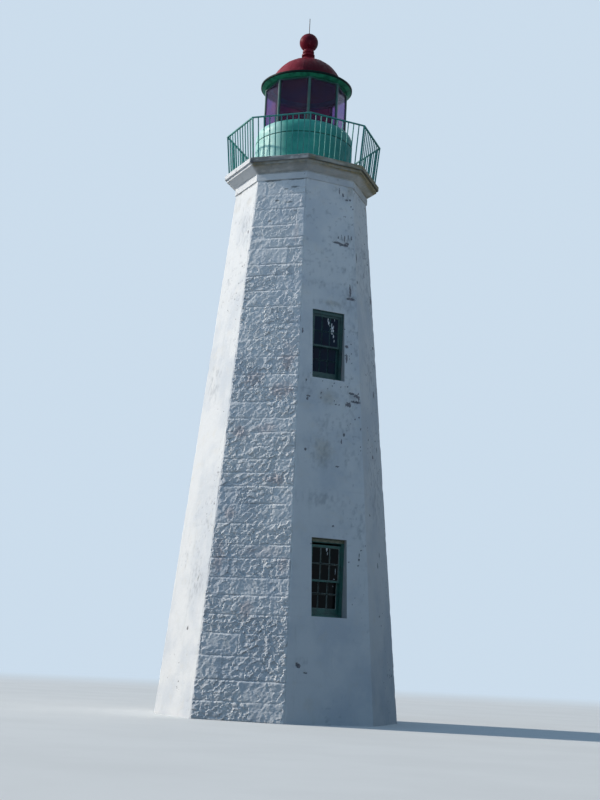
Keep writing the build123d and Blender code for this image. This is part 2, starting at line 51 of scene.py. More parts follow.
FIT = 0.0003
NECK_PROJECTION = 0.020
BALUSTER = 0.022
BALUSTERS_PER_SIDE = 9
LANTERN_RING = 0.066
SHOULDER_STRAIGHT = 0.120
FRAME_JAMB = 0.062
FRAME_HEAD = 0.084
FRAME_SILL = 0.062
SASH_SETBACK = 0.026
SASH_THICKNESS = 0.050
SASH_GAP = 0.012
SASH_STILE = 0.044
SASH_TOP_RAIL = 0.054
SASH_MEETING_RAIL = 0.040
SASH_BOTTOM_RAIL = 0.140
SASH_DROPS = {"front_lower": 0.062, "front_upper": 0.0, "back_upper": 0.0}

# Sizes read from the frame

SIDES = ["front", "front_right", "right", "back_right", "back", "back_left", "left", "front_left"]
SIDE_TURN = math.tau / len(SIDES)
HALF_SIDE = math.tan(SIDE_TURN / 2)
VERTEX = 1 / math.cos(SIDE_TURN / 2)

wall_low, wall_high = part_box("wall_front")
BASE_APOTHEM = -wall_low.y
WALL_HEIGHT = wall_high.z
WALL_TOP_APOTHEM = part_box("neck_course")[1].x - NECK_PROJECTION
INNER_TOP_APOTHEM = -wall_high.y
INNER_BASE_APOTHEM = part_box("ground_floor")[1].x + FIT
DECK_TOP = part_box("parapet_wall")[0].z
LANTERN_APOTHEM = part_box("lantern_sill")[1].x
PARAPET_INNER_RADIUS = LANTERN_APOTHEM - LANTERN_RING - 0.002


def outer_apothem(z):
    """Distance from the axis to the outer face of a wall at a height."""
    return BASE_APOTHEM + (WALL_TOP_APOTHEM - BASE_APOTHEM) * z / WALL_HEIGHT


def inner_apothem(z):
    """Distance from the axis to the inner face of a wall at a height."""
    return INNER_BASE_APOTHEM + (INNER_TOP_APOTHEM - INNER_BASE_APOTHEM) * z / WALL_HEIGHT


def front_box(node, behind):
    """A node's limits across, inwards and up, in front position."""
    low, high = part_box(node)
    if behind:
        return (-high.x, -low.x), (-high.y, -low.y), (low.z, high.z)
    return (low.x, high.x), (low.y, high.y), (low.z, high.z)


def opening(node, behind=False):
    """Left, right, bottom and top of the hole round a frame, in front position."""
    across, _, up = front_box(node, behind)
    return across[0] - FIT, across[1] + FIT, up[0] - FIT, up[1] + FIT


door_hole = opening("door_frame", behind=True)
HOLES = {
    "front": [opening("front_lower_frame"), opening("front_upper_frame")],
    "back": [(*door_hole[:2], 0.0, door_hole[3]), opening("back_upper_frame", behind=True)],
}

# Noise for shapes, all of it seeded


def smoothstep(low, high, value):
    """0 below low, 1 above high and a smooth turn between."""
    share = np.clip((value - low) / (high - low), 0, 1)
    return share * share * (3 - 2 * share)


def value_noise(x, y, size, seed):
    """Smooth noise from -1 to 1 whose bumps are about a size across."""
    count = 256
    table = np.random.default_rng(seed).random((count, count)) * 2 - 1
    column, row = np.floor(x / size).astype(int), np.floor(y / size).astype(int)
    across, up = x / size - column, y / size - row
    across, up = across * across * (3 - 2 * across), up * up * (3 - 2 * up)

    def at(i, j):
        return table[(column + i) % count, (row + j) % count]

    low = at(0, 0) * (1 - across) + at(1, 0) * across
    high = at(0, 1) * (1 - across) + at(1, 1) * across
    return low * (1 - up) + high * up


def fractal(x, y, size, seed, octaves=3):
    """Value noise with finer and fainter noise added to it."""
    total, weight, sum_of_weights = 0.0, 1.0, 0.0
    for octave in range(octaves):
        total = total + weight * value_noise(x, y, size / 2**octave, seed + octave)
        sum_of_weights += weight
        weight *= 0.55
    return total / sum_of_weights


def facets(x, y, size, seed, steepness):
    """Depth of broken stone: flat chips side by side, each tilted its own way."""
    count = 128
    table = np.random.default_rng(seed).random((count, count, 5))
    column, row = np.floor(x / size).astype(int), np.floor(y / size).astype(int)
    nearest = np.full(np.shape(x), 9.0)
    depth = np.zeros(np.shape(x))
    for i in (-1, 0, 1):
        for j in (-1, 0, 1):
            chip = table[(column + i) % count, (row + j) % count]
            dx = x / size - (column + i + chip[..., 0])
            dy = y / size - (row + j + chip[..., 1])
            distance = dx * dx + dy * dy
            tilt = (chip[..., 2] - 0.5) * dx + (chip[..., 3] - 0.5) * dy
            here = size * (2 * steepness * tilt + 0.3 * steepness * (chip[..., 4] - 0.5))
            depth = np.where(distance < nearest, here, depth)
            nearest = np.minimum(nearest, distance)
    return depth


def blurred(grid, rows, columns):
    """A grid's mean over a window that reaches so many rows and columns each way."""
    for axis, reach in ((0, rows), (1, columns)):
        shifted = [np.roll(grid, shift, axis) for shift in range(-reach, reach + 1)]
        grid = sum(shifted) / len(shifted)
    return grid


# Meshes

# Degrees from which an edge stays sharp
PART_SHARP = 40
TURNED_SHARP = 30
RING_SHARP = 28
ROCK_SHARP = 26
COAT_SHARP = 60


def spread(rows, columns):
    """A grid that holds each row's number in all of its columns."""
    return np.repeat(np.asarray(rows)[:, None], columns, 1)


def turned(points, angle):
    """Points turned about the tower's axis."""
    c, s = np.cos(angle), np.sin(angle)
    x, y, z = np.moveaxis(np.asarray(points, float), -1, 0)
    return np.stack([c * x - s * y, s * x + c * y, z], -1)


def to_side(points, side):
    """Points of the front side, turned to another side."""
    return turned(points, SIDE_TURN * SIDES.index(side))


def around(radius, angle, z):
    """Points at a distance from the axis, an azimuth and a height."""
    return np.stack(np.broadcast_arrays(radius * np.cos(angle), radius * np.sin(angle), z), -1)


def add_piece(name, mesh, materials, replaced=(), sharp=PART_SHARP):
    """Put a mesh into the scene as a piece of the tower."""
    for material in materials:
        mesh.materials.append(material)
    mesh.polygons.foreach_set("use_smooth", np.ones(len(mesh.polygons), bool))
    mesh.set_sharp_from_angle(angle=math.radians(sharp))
    piece = bpy.data.objects.new(name, mesh)
    bpy.context.scene.collection.objects.link(piece)
    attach(piece, "root")
    if replaced:
        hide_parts(*replaced)


def set_attribute(mesh, name, values):
    """Give a mesh one number for each point."""
    attribute = mesh.attributes.new(name, "FLOAT", "POINT")
    attribute.data.foreach_set("value", np.asarray(values, np.float32).ravel())


class Parts:
    """Closed shapes gathered into one piece."""

    def __init__(self):
        self.points = []
        self.faces = []

    def tube(self, rings, side=None, closed=False):
        """Skin rings of equal length, listed anticlockwise as seen from the last ring."""
        count = len(rings[0])
        points = np.array([point for ring in rings for point in ring], float)
        faces = []
        for number in range(len(rings) if closed else len(rings) - 1):
            low, high = number * count, ((number + 1) % len(rings)) * count
            for i in range(count):
                j = (i + 1) % count
                faces.append((low + i, low + j, high + j, high + i))
        if not closed:
            faces.append(tuple(reversed(range(count))))
            faces.append(tuple((len(rings) - 1) * count + i for i in range(count)))
        base = len(self.points)
        self.points.extend(map(tuple, to_side(points, side) if side else points))
        self.faces.extend([tuple(base + corner for corner in face) for face in faces])

    def block(self, x, y, z, bevel=0.0, side=None):
        """A box between limits, with its outer upright edges eased by a bevel."""
        outline = [(x[0], y[0]), (x[1], y[0]), (x[1], y[1]), (x[0], y[1])]
        if bevel:
            outline[:2] = (x[0] + bevel, y[0]), (x[1] - bevel, y[0]), (x[1], y[0] + bevel)
            outline.append((x[0], y[0] + bevel))
        self.tube([[(u, v, level) for u, v in outline] for level in z], side)

    def bar(self, start, end, outline, across, side=None):
        """A straight bar with an outline of (across, out) points, from start to end."""
        start, end, across = Vector(start), Vector(end), Vector(across).normalized()
        out = (end - start).normalized().cross(across).normalized()
        rings = [[tuple(place + across * u + out * v) for u, v in outline] for place in (start, end)]
        self.tube(rings, side)

    def picture_frame(self, x, z, y, profile, side=None):
        """A moulding of (inset, depth) points, mitred round a rectangle on a plane."""
        rings = []
        for inset, depth in profile:
            left, right = x[0] + inset, x[1] - inset
            low, high = z[0] + inset, z[1] - inset
            corners = [(left, low), (right, low), (right, high), (left, high)]
            rings.append([(u, y + depth, v) for u, v in corners])
        self.tube(rings, side, closed=True)

    def knob(self, centre, direction, profile, segments=12, side=None):
        """A round head from (radius, reach) points, from its seat to its tip."""
        out = Vector(direction).normalized()
        first = out.orthogonal().normalized()
        second = out.cross(first)
        turns = [math.tau * i / segments for i in range(segments)]
        spokes = [first * math.cos(turn) + second * math.sin(turn) for turn in turns]
        middle = Vector(centre)
        rings = [[tuple(middle + out * reach + spoke * r) for spoke in spokes] for r, reach in profile]
        self.tube(rings, side)

    def make(self, name, material, slot, replaced=()):
        """Make the piece."""
        mesh = bpy.data.meshes.new(name)
        mesh.from_pydata(self.points, [], self.faces)
        mesh.validate()
        add_piece(name, mesh, [material], replaced)


def ring_mesh(name, points):
    """A closed ring from a grid of points: an outline down the rows, the axis across the columns."""
    below = np.arange(points[..., 0].size).reshape(points.shape[:2])
    above = np.roll(below, -1, 0)
    faces = np.stack([below, np.roll(below, -1, 1), np.roll(above, -1, 1), above], -1)
    mesh = bpy.data.meshes.new(name)
    mesh.from_pydata(points.reshape(-1, 3).tolist(), [], faces.reshape(-1, 4).tolist())
    return mesh


def lathe(name, profile, columns, material, replaced=()):
    """A ring turned about the axis from a closed outline of (radius, height) points."""
    radius, z = (spread(values, columns) for values in np.array(profile).T)
    mesh = ring_mesh(name, around(radius, np.arange(columns) / columns * math.tau, z))
    add_piece(name, mesh, [material], replaced, TURNED_SHARP)


# The kinds of a thick wall's faces, which are the numbers of its materials
OUTSIDE, REVEAL, HIDDEN = 0, 1, 2


def shell_faces(rows, cols, marks, holes, wrap):
    """Faces of a thick wall made of an outer grid and an inner one, with holes through it.

    The inner grid has a row only at each mark. A hole is its lowest and highest mark and its
    first and last column.
    """
    cells = cols if wrap else cols - 1
    outer = np.arange(rows * cols).reshape(rows, cols)
    inner = rows * cols + np.arange(len(marks) * cols).reshape(len(marks), cols)
    if wrap:
        outer = np.hstack([outer, outer[:, :1]])
        inner = np.hstack([inner, inner[:, :1]])
    solid = np.ones((len(marks) - 1, cells), bool)
    fine_solid = np.ones((rows - 1, cells), bool)
    for low, high, left, right in holes:
        solid[low:high, left:right] = False
        fine_solid[marks[low] : marks[high], left:right] = False
    r, c = np.nonzero(fine_solid)
    faces = np.stack([outer[r, c], outer[r, c + 1], outer[r + 1, c + 1], outer[r + 1, c]], 1).tolist()
    kinds = [OUTSIDE] * len(faces)
    k, c = np.nonzero(solid)
    faces += np.stack([inner[k, c], inner[k + 1, c], inner[k + 1, c + 1], inner[k, c + 1]], 1).tolist()
    kinds += [HIDDEN] * len(k)
    nothing = np.zeros(cells, bool)
    for k, row in enumerate(marks):
        below = solid[k - 1] if k > 0 else nothing
        above = solid[k] if k < len(marks) - 1 else nothing
        kind = HIDDEN if k in (0, len(marks) - 1) else REVEAL
        for c in np.nonzero(below & ~above)[0]:
            faces.append([outer[row, c], outer[row, c + 1], inner[k, c + 1], inner[k, c]])
            kinds.append(kind)
        for c in np.nonzero(above & ~below)[0]:
            faces.append([outer[row, c + 1], outer[row, c], inner[k, c], inner[k, c + 1]])
            kinds.append(kind)
    for k in range(len(marks) - 1):
        up = list(range(marks[k], marks[k + 1] + 1))
        for c in range(cells if wrap else cells + 1):
            on_left = solid[k, c - 1] if (c > 0 or wrap) else False
            on_right = solid[k, c] if c < cells else False
            if on_left == on_right:
                continue
            if on_left:
                edge = [outer[row, c] for row in reversed(up)] + [inner[k, c], inner[k + 1, c]]
            else:
                edge = [outer[row, c] for row in up] + [inner[k + 1, c], inner[k, c]]
            faces.append(edge)
            kinds.append(HIDDEN if not wrap and c in (0, cells) else REVEAL)
    return faces, kinds


def shell_mesh(name, outer, inner, marks, holes, wrap=False, **point_values):
    """A closed thick wall from its outer and inner grids of points."""
    rows, cols = outer.shape[:2]
    faces, kinds = shell_faces(rows, cols, marks, holes, wrap)
    points = np.concatenate([outer.reshape(-1, 3), inner.reshape(-1, 3)])
    used = np.zeros(len(points), bool)
    used[np.concatenate([np.array(face) for face in faces])] = True
    renumbered = np.cumsum(used) - 1
    mesh = bpy.data.meshes.new(name)
    mesh.from_pydata(points[used].tolist(), [], [renumbered[face].tolist() for face in faces])
    mesh.polygons.foreach_set("material_index", np.array(kinds, np.int32))
    for key, values in point_values.items():
        padded = np.concatenate([values.ravel(), np.zeros(inner.shape[0] * cols)])
        set_attribute(mesh, key, padded[used])
    return mesh


def graded(keys, step):
    """Levels from the first key to the last with about even steps, and where the keys are."""
    levels, marks = [keys[0]], [0]
    for low, high in zip(keys, keys[1:]):
        count = max(1, round((high - low) / step))
        levels.extend(low + (high - low) * (np.arange(count) + 1) / count)
        marks.append(len(levels) - 1)
    return np.array(levels), marks


# Material nodes


class Nodes:
    """Short ways to add nodes to a tree."""

    def __init__(self, tree):
        self.tree = tree

    def add(self, kind, values=None, **settings):
        """A node with its settings, and with values or links for some of its inputs."""
        node = self.tree.nodes.new(kind)
        for key, setting in settings.items():
            setattr(node, key, setting)
        for key, value in (values or {}).items():
            self.put(node.inputs[key], value)
        return node

    def put(self, socket, value):
        """Link an output to a socket, or set a plain value."""
        if isinstance(value, bpy.types.NodeSocket):
            self.tree.links.new(value, socket)
        elif socket.type == "RGBA":
            socket.default_value = (*value, 1)
        else:
            socket.default_value = value

    def calculate(self, operation, *numbers):
        """The result of an operation on numbers."""
        return self.add("ShaderNodeMath", dict(enumerate(numbers)), operation=operation).outputs[0]

    def blend(self, share, first, second):
        """The shader between those of two nodes."""
        values = {"Fac": share, 1: first.outputs[0], 2: second.outputs[0]}
        return self.add("ShaderNodeMixShader", values).outputs[0]

    def split(self, vector):
        """The X, Y and Z of a vector."""
        return self.add("ShaderNodeSeparateXYZ", {0: vector}).outputs

    def seen(self):
        """1 for rays from the camera and for those that are mirrored or let through, and else 0."""
        path = self.add("ShaderNodeLightPath").outputs
        plainly = self.calculate("MAXIMUM", path["Is Camera Ray"], path["Is Glossy Ray"])
        return self.calculate("MAXIMUM", plainly, path["Is Transmission Ray"])


class Finish(Nodes):
    """A material and short ways to colour it."""

    def __init__(self, name):
        self.material = bpy.data.materials.new(name)
        self.material.use_nodes = True
        super().__init__(self.material.node_tree)
        self.shader = self.tree.nodes["Principled BSDF"]
        self.place = self.add("ShaderNodeTexCoord").outputs["Object"]

    def noise(self, size, detail=4.0, roughness=0.55, stretch=None):
        """Noise from 0 to 1 with features of a size in metres."""
        place = self.place
        if stretch:
            place = self.add("ShaderNodeMapping", {"Vector": place, "Scale": stretch}).outputs["Vector"]
        values = {"Vector": place, "Scale": 1 / size, "Detail": detail, "Roughness": roughness}
        return self.add("ShaderNodeTexNoise", values).outputs["Fac"]

    def value(self, name):
        """A number that the mesh holds for each point."""
        return self.add("ShaderNodeAttribute", attribute_name=name).outputs["Fac"]

    def between(self, value, low, high, start=0.0, end=1.0):
        """A value's place between two limits, as a number from start to end."""
        values = {"Value": value, "From Min": low, "From Max": high, "To Min": start, "To Max": end}
        return self.add("ShaderNodeMapRange", values, interpolation_type="SMOOTHSTEP").outputs["Result"]

    def mix(self, share, first, second):
        """A colour between two."""
        values = {"Factor": share, 6: first, 7: second}
        return self.add("ShaderNodeMix", values, data_type="RGBA").outputs[2]

    def over(self, under, coat, value, low, high, share=1.0):
        """A colour and, over it, a share of a coat where a value rises from low to high."""
        return self.mix(self.between(value, low, high, 0, share), under, coat)

    def gloss(self, size, low, high, detail=4.0):
        """Roughness between two limits, in patches of a size."""
        return self.between(self.noise(size, detail), 0.3, 0.7, low, high)

    def bump(self, height, distance, strength=1.0, normal=None):
        """A bumped normal from a height between 0 and 1, with a depth in metres."""
        values = {"Strength": strength, "Distance": distance, "Height": height}
        if normal is not None:
            values["Normal"] = normal
        return self.add("ShaderNodeBump", values).outputs["Normal"]

    def sunk(self, share, depth, normal):
        """A bumped normal that lies deeper where a share is 1."""
        return self.bump(self.calculate("SUBTRACT", 1.0, share), depth, 1.0, normal)

    def vector(self, operation, *vectors):
        """The outputs of an operation on vectors."""
        return self.add("ShaderNodeVectorMath", dict(enumerate(vectors)), operation=operation).outputs

    def height(self):
        """Height above the ground."""
        return self.split(self.place)["Z"]

    def normal(self):
        """The way that the surface faces."""
        return self.add("ShaderNodeNewGeometry").outputs["Normal"]

    def off_axis(self):
        """The way straight out from the tower's axis to the place."""
        return self.vector("MULTIPLY", self.place, (1, 1, 0))[0]

    def inside(self):
        """1 where the surface faces the tower's axis, and 0 elsewhere."""
        outward = self.vector("DOT_PRODUCT", self.normal(), self.off_axis())["Value"]
        return self.between(outward, -0.05, 0.0, 1.0, 0.0)

    def reach(self, degrees):
        """Metres from the axis towards an azimuth."""
        angle = math.radians(degrees)
        return self.vector("DOT_PRODUCT", self.place, (math.cos(angle), math.sin(angle), 0.0))["Value"]

    def done(self, color, roughness, normal=None, **settings):
        """Set the shader's main inputs and return the material."""
        self.put(self.shader.inputs["Base Color"], color)
        self.put(self.shader.inputs["Roughness"], roughness)
        if normal is not None:
            self.put(self.shader.inputs["Normal"], normal)
        for key, value in settings.items():
            self.shader.inputs[key.replace("_", " ")].default_value = value
        return self.material


# Dark red-brown on the lantern's inner faces, as painted shade for its dim inside
INSIDE_SHADE = (0.140, 0.085, 0.033)

# The lantern's ruby panes: from one azimuth to another
RUBY_PANES = (math.radians(22.5), math.radians(112.5))


def limewash(name="whitewashed_stone", shade=1.0):
    """Thick limewash on stone, with chips, stains and dirt; hollows and joints are darkened as painted
    shade.
    """
    f = Finish(name)

    def tone(*color):
        return tuple(part * shade for part in color)

    grey = tone(0.68, 0.70, 0.72)
    color = f.over(tone(0.82, 0.815, 0.80), grey, f.noise(1.3, 6), 0.42, 0.66)
    color = f.over(color, tone(0.79, 0.75, 0.68), f.noise(0.32, 5), 0.52, 0.75, 0.4)
    color = f.over(color, grey, f.noise(0.05, 6, 0.7), 0.50, 0.8, 0.4)
    color = f.over(color, tone(0.55, 0.57, 0.54), f.noise(0.16, 5, 0.6, (1, 1, 0.12)), 0.56, 0.8, 0.4)
    # Painted shade: greyer on the sunlit sides towards azimuth 100
    color = f.over(color, grey, f.reach(100), 1.4, 2.1, 0.7)
    color = f.over(color, tone(0.60, 0.49, 0.47), f.value("tint"), 0.0, 1.0, 0.55)
    growth = f.over((0.20, 0.165, 0.060), (0.38, 0.265, 0.085), f.noise(0.09, 4), 0.35, 0.65)
    color = f.mix(f.value("algae"), color, growth)
    # Painted shade in hollows, joints and dents, mixed with stains and dirt
    color = f.mix(f.value("recess"), color, tone(0.20, 0.215, 0.235))
    # Near-black dirt, with painted shadow under the neck band and the deck's edge and painted shade on
    # the rings' shaded sides
    color = f.mix(f.value("grime_and_shade"), color, tone(0.055, 0.070, 0.068))
    ragged = f.between(f.noise(0.03, 4), 0.3, 0.7, -0.25, 0.25)
    bare = f.between(f.calculate("ADD", f.value("bare"), ragged), 0.35, 0.6)
    stone = f.over((0.09, 0.09, 0.105), (0.23, 0.20, 0.21), f.noise(0.06, 5), 0.35, 0.65)
    color = f.mix(f.calculate("MULTIPLY", bare, 0.9), color, stone)
    pores = f.bump(f.noise(0.012, 5, 0.65), 0.004, 0.7)
    daubs = f.bump(f.noise(0.045, 4, 0.6), 0.009, 0.75, pores)
    return f.done(color, f.gloss(0.2, 0.8, 0.96), f.sunk(bare, 0.004, daubs))


def bare_stone():
    """Dressed sandstone that was never painted."""
    f = Finish("bare_stone")
    color = f.over((0.44, 0.39, 0.33), (0.30, 0.28, 0.25), f.noise(0.4, 6), 0.35, 0.7)
    color = f.over(color, (0.20, 0.18, 0.16), f.noise(0.02, 4), 0.45, 0.8, 0.5)
    return f.done(color, f.gloss(0.1, 0.78, 0.95), f.bump(f.noise(0.02, 6, 0.7), 0.006, 0.8))


def masonry_paint():
    """Sea-green chalky paint on the round parapet, paler on the sunlit side as painted sunlight and
    darker on the far side as painted shade.
    """
    f = Finish("parapet_paint")
    fresh, faded, deep = (0.042, 0.36, 0.29), (0.13, 0.49, 0.41), (0.020, 0.25, 0.205)
    color = f.over(fresh, deep, f.noise(0.5, 6), 0.4, 0.7)
    color = f.over(color, faded, f.noise(0.09, 5, 0.65), 0.5, 0.8, 0.45)
    # Painted sunlight on the side towards azimuth 178
    color = f.over(color, (0.44, 0.76, 0.68), f.reach(178), 0.88, 1.12, 0.9)
    # Painted shade on the side towards azimuth 330
    color = f.over(color, (0.018, 0.20, 0.175), f.reach(330), 0.3, 1.1, 0.8)
    color = f.over(color, deep, f.noise(0.07, 4, 0.6, (1, 1, 0.08)), 0.55, 0.8, 0.5)
    # Painted shade in the groove under the seam and along the drum's foot
    color = f.mix(f.value("recess"), color, (0.012, 0.055, 0.045))
    flake = f.between(f.noise(0.035, 5, 0.6), 0.70, 0.74)
    color = f.mix(flake, color, (0.42, 0.46, 0.42))
    daubs = f.bump(f.noise(0.12, 3), 0.008, 0.5, f.bump(f.noise(0.02, 5, 0.6), 0.003, 0.6))
    lift = f.sunk(flake, 0.002, daubs)
    return f.done(color, f.gloss(0.15, 0.42, 0.68), lift, Specular_IOR_Level=0.35)


def iron_paint(name, fresh, faded, deep, shaded_inside=False):
    """Paint on iron, with chalking, runs and a little rust; when asked, faces inside the lantern are
    darkened as painted shade.
    """
    f = Finish(name)
    color = f.over(fresh, deep, f.noise(0.25, 6), 0.4, 0.7)
    color = f.over(color, faded, f.noise(0.05, 5, 0.65), 0.5, 0.8, 0.6)
    # Painted shade on the faces inside the lantern
    if shaded_inside:
        color = f.mix(f.inside(), color, INSIDE_SHADE)
    color = f.over(color, (0.22, 0.11, 0.05), f.noise(0.09, 5, 0.6, (1, 1, 0.25)), 0.64, 0.76, 0.6)
    spots = f.between(f.noise(0.03, 6, 0.62), 0.68, 0.73)
    color = f.mix(spots, color, (0.13, 0.05, 0.025))
    pits = f.sunk(spots, 0.0012, f.bump(f.noise(0.015, 4), 0.0012, 0.5))
    dull = f.calculate("MULTIPLY", spots, 0.3)
    return f.done(color, f.calculate("ADD", f.gloss(0.06, 0.35, 0.6), dull), pits)


def roof_paint(name="roof_paint", green_below=False):
    """Dull red roof paint, bleached in patches, with a painted highlight on the sun's side and painted
    shade on the far side; the eave is green below, with painted shade darkening its rim.
    """
    f = Finish(name)
    red, bleach_and_highlight, dark = (0.22, 0.015, 0.027), (0.42, 0.080, 0.105), (0.07, 0.007, 0.014)
    color = f.over(red, dark, f.noise(0.6, 6), 0.4, 0.68)
    color = f.over(color, bleach_and_highlight, f.noise(0.14, 6, 0.65), 0.5, 0.78, 0.7)
    # Painted highlight on the sun's side, towards azimuth 170
    color = f.over(color, bleach_and_highlight, f.reach(170), 0.2, 1.0, 0.5)
    # Painted shade on the far side, towards azimuth 310
    color = f.over(color, dark, f.reach(310), -0.2, 0.8, 0.9)
    color = f.over(color, dark, f.noise(0.05, 5, 0.6, (1, 1, 0.15)), 0.6, 0.85, 0.5)
    if green_below:
        green = f.over((0.03, 0.26, 0.14), (0.015, 0.13, 0.08), f.noise(0.12, 5), 0.4, 0.7)
        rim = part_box("roof_eave")[1].x
        from_axis = f.vector("LENGTH", f.off_axis())["Value"]
        # Painted shade: the eave's rim near black
        green = f.over(green, (0.008, 0.022, 0.02), from_axis, rim - 0.034, rim - 0.022)
        color = f.over(green, color, f.split(f.normal())["Z"], 0.25, 0.3)
    else:
        # Painted shade on the faces inside the lantern
        color = f.mix(f.inside(), color, INSIDE_SHADE)
    coat = f.bump(f.noise(0.02, 5), 0.0015, 0.5, f.bump(f.noise(0.35, 2), 0.012, 0.4))
    return f.done(color, f.gloss(0.1, 0.36, 0.6, 5), coat, Specular_IOR_Level=0.05)


def joinery_paint(name, fresh, deep, worn_above=None):
    """Dark green paint on wood, worn along the grain, and bare above a height where one is given."""
    f = Finish(name)
    color = f.over(fresh, deep, f.noise(0.2, 5), 0.4, 0.7)
    color = f.over(color, (0.045, 0.17, 0.145), f.noise(0.04, 5), 0.55, 0.8, 0.5)
    worn = f.between(f.noise(0.03, 6, 0.6, (1, 1, 0.2)), 0.70, 0.76)
    color = f.mix(worn, color, (0.22, 0.20, 0.17))
    if worn_above:
        weathered = f.over((0.16, 0.17, 0.11), (0.07, 0.09, 0.06), f.noise(0.05, 5), 0.4, 0.7)
        color = f.over(color, weathered, f.height(), worn_above, worn_above + 0.012)
    grain = f.bump(f.noise(0.008, 4, 0.6, (1, 1, 0.1)), 0.0012, 0.6)
    return f.done(color, f.gloss(0.05, 0.34, 0.6), f.sunk(worn, 0.001, grain))


def bar_paint(name, pale, dim):
    """Chalky paint on the thin glazing bars and their putty."""
    f = Finish(name)
    color = f.over(dim, pale, f.noise(0.07, 5), 0.36, 0.66)
    grain = f.bump(f.noise(0.008, 4, 0.6, (1, 1, 0.1)), 0.001, 0.6)
    return f.done(color, f.gloss(0.05, 0.45, 0.7), grain)


def pane_glass():
    """Old window glass, a little wavy and dusty; its near-black colour is painted shade for the dark
    rooms behind, bluer from 5 to 7 m up.
    """
    f = Finish("window_glass")
    high = f.between(f.height(), 5.0, 7.0)
    blue = f.mix(high, (0.002, 0.006, 0.006), (0.005, 0.022, 0.044))
    brown = f.mix(high, (0.006, 0.004, 0.004), (0.013, 0.016, 0.036))
    color = f.over(blue, brown, f.noise(0.3, 4), 0.35, 0.7)
    color = f.over(color, (0.10, 0.12, 0.13), f.noise(0.06, 6, 0.7), 0.72, 0.88, 0.15)
    wave = f.bump(f.noise(0.16, 2), 0.004, 0.5)
    shine = f.between(f.noise(0.1, 5), 0.4, 0.7, 0.06, 0.18)
    return f.done(color, shine, wave, Specular_IOR_Level=0.08)


def tinted_glass():
    """Violet lantern panes that daylight comes through, with ruby ones towards the land."""
    f = Finish("lantern_glass")
    clear = f.over((0.37, 0.30, 0.57), (0.50, 0.31, 0.50), f.noise(0.5, 3), 0.3, 0.7)
    place = f.split(f.place)
    azimuth = f.calculate("ARCTAN2", place["Y"], place["X"])
    past_start, past_end = (f.between(azimuth, limit - 0.01, limit + 0.01) for limit in RUBY_PANES)
    color = f.mix(f.calculate("SUBTRACT", past_start, past_end), clear, (0.075, 0.006, 0.020))
    wave = f.bump(f.noise(0.3, 2), 0.003, 0.3)
    shine = f.between(f.noise(0.1, 5), 0.4, 0.75, 0.02, 0.10)
    return f.done(color, shine, wave, Transmission_Weight=0.94, IOR=1.12)


def bare_iron():
    """Dark weathered iron."""
    f = Finish("bare_iron")
    color = f.over((0.045, 0.045, 0.05), (0.15, 0.075, 0.045), f.noise(0.04, 6), 0.4, 0.7)
    return f.done(color, f.gloss(0.03, 0.5, 0.8), f.bump(f.noise(0.008, 5), 0.001, 0.8), Metallic=0.4)


WHITEWASH = limewash()
# A darker copy of the limewash on the sides of the openings, as painted shade
SHADED_REVEAL_WASH = limewash("shaded_reveal_wash", 0.55)
BARE_STONE = bare_stone()
PARAPET_PAINT = masonry_paint()
RAILING_PAINT = iron_paint("railing_paint", (0.02, 0.27, 0.235), (0.07, 0.40, 0.36), (0.01, 0.16, 0.15))
LANTERN_GREENS = (0.017, 0.105, 0.092), (0.075, 0.23, 0.20), (0.010, 0.060, 0.055)
LANTERN_PAINT = iron_paint("lantern_paint", *LANTERN_GREENS, shaded_inside=True)
BEAD_PAINT = iron_paint("bead_paint", (0.020, 0.045, 0.040), (0.05, 0.09, 0.08), (0.014, 0.022, 0.022))
ROOF_PAINT = roof_paint()
EAVE_PAINT = roof_paint("eave_paint", green_below=True)
GREENS = (0.013, 0.100, 0.085), (0.008, 0.055, 0.052)
JOINERY = joinery_paint("joinery_paint", *GREENS)
# A darker copy of the window paint for the upper windows, as painted shade
DARK_JOINERY = joinery_paint("dark_joinery", (0.008, 0.058, 0.056), (0.005, 0.030, 0.036))
HEAD_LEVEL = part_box("front_lower_frame")[1].z - FRAME_HEAD
WEATHERED_JOINERY = joinery_paint("weathered_joinery", *GREENS, HEAD_LEVEL)
PALE_BARS = bar_paint("pale_bar_paint", (0.34, 0.38, 0.34), (0.16, 0.22, 0.20))
PANE_MARK_PAINT = bar_paint("white_pane_marks", (0.88, 0.88, 0.87), (0.70, 0.71, 0.71))
DIM_BARS = bar_paint("dim_bar_paint", (0.045, 0.12, 0.12), (0.016, 0.055, 0.06))
PANE_GLASS = pane_glass()
LANTERN_GLASS = tinted_glass()
BARE_IRON = bare_iron()


# Masonry of the eight walls

STEP = 0.030
PLAIN_COLUMNS = 76
SIDE_BAND_COLUMNS = 24
MIDDLE_BAND_COLUMNS = 34
ARRIS_WIDTH = 0.034
# How far a bed joint's painted shadow reaches
JOINT_SHADOW_REACH = 0.020

# The rock-faced walls have twice as many rows, and their own number of columns
FINE_COLUMNS = {"front_left": 108, "back_right": 84}

# Levels of the bed joints, from the ground to the neck course
COURSES = np.array(
    [0.0, 0.42, 0.89, 1.42, 1.92, 2.35, 2.78, 3.18, 3.63, 3.94, 4.44, 4.89, 5.31, 5.63]
    + [5.95, 6.26, 6.60, 6.94, 7.34, 7.68, 8.01, 8.45, 8.89, 9.28, 9.73, 10.13, 10.52]
    + [10.81, 11.24, 11.50, 11.84, 12.27, 12.66, WALL_HEIGHT]
)

# How rock-faced each side is; the others carry a smooth coat
ROUGH_SIDES = {"front_left": 1.0, "back_right": 1.0, "back_left": 0.30, "right": 0.2}

# Marks on the walls: centre across, height, half width and half height

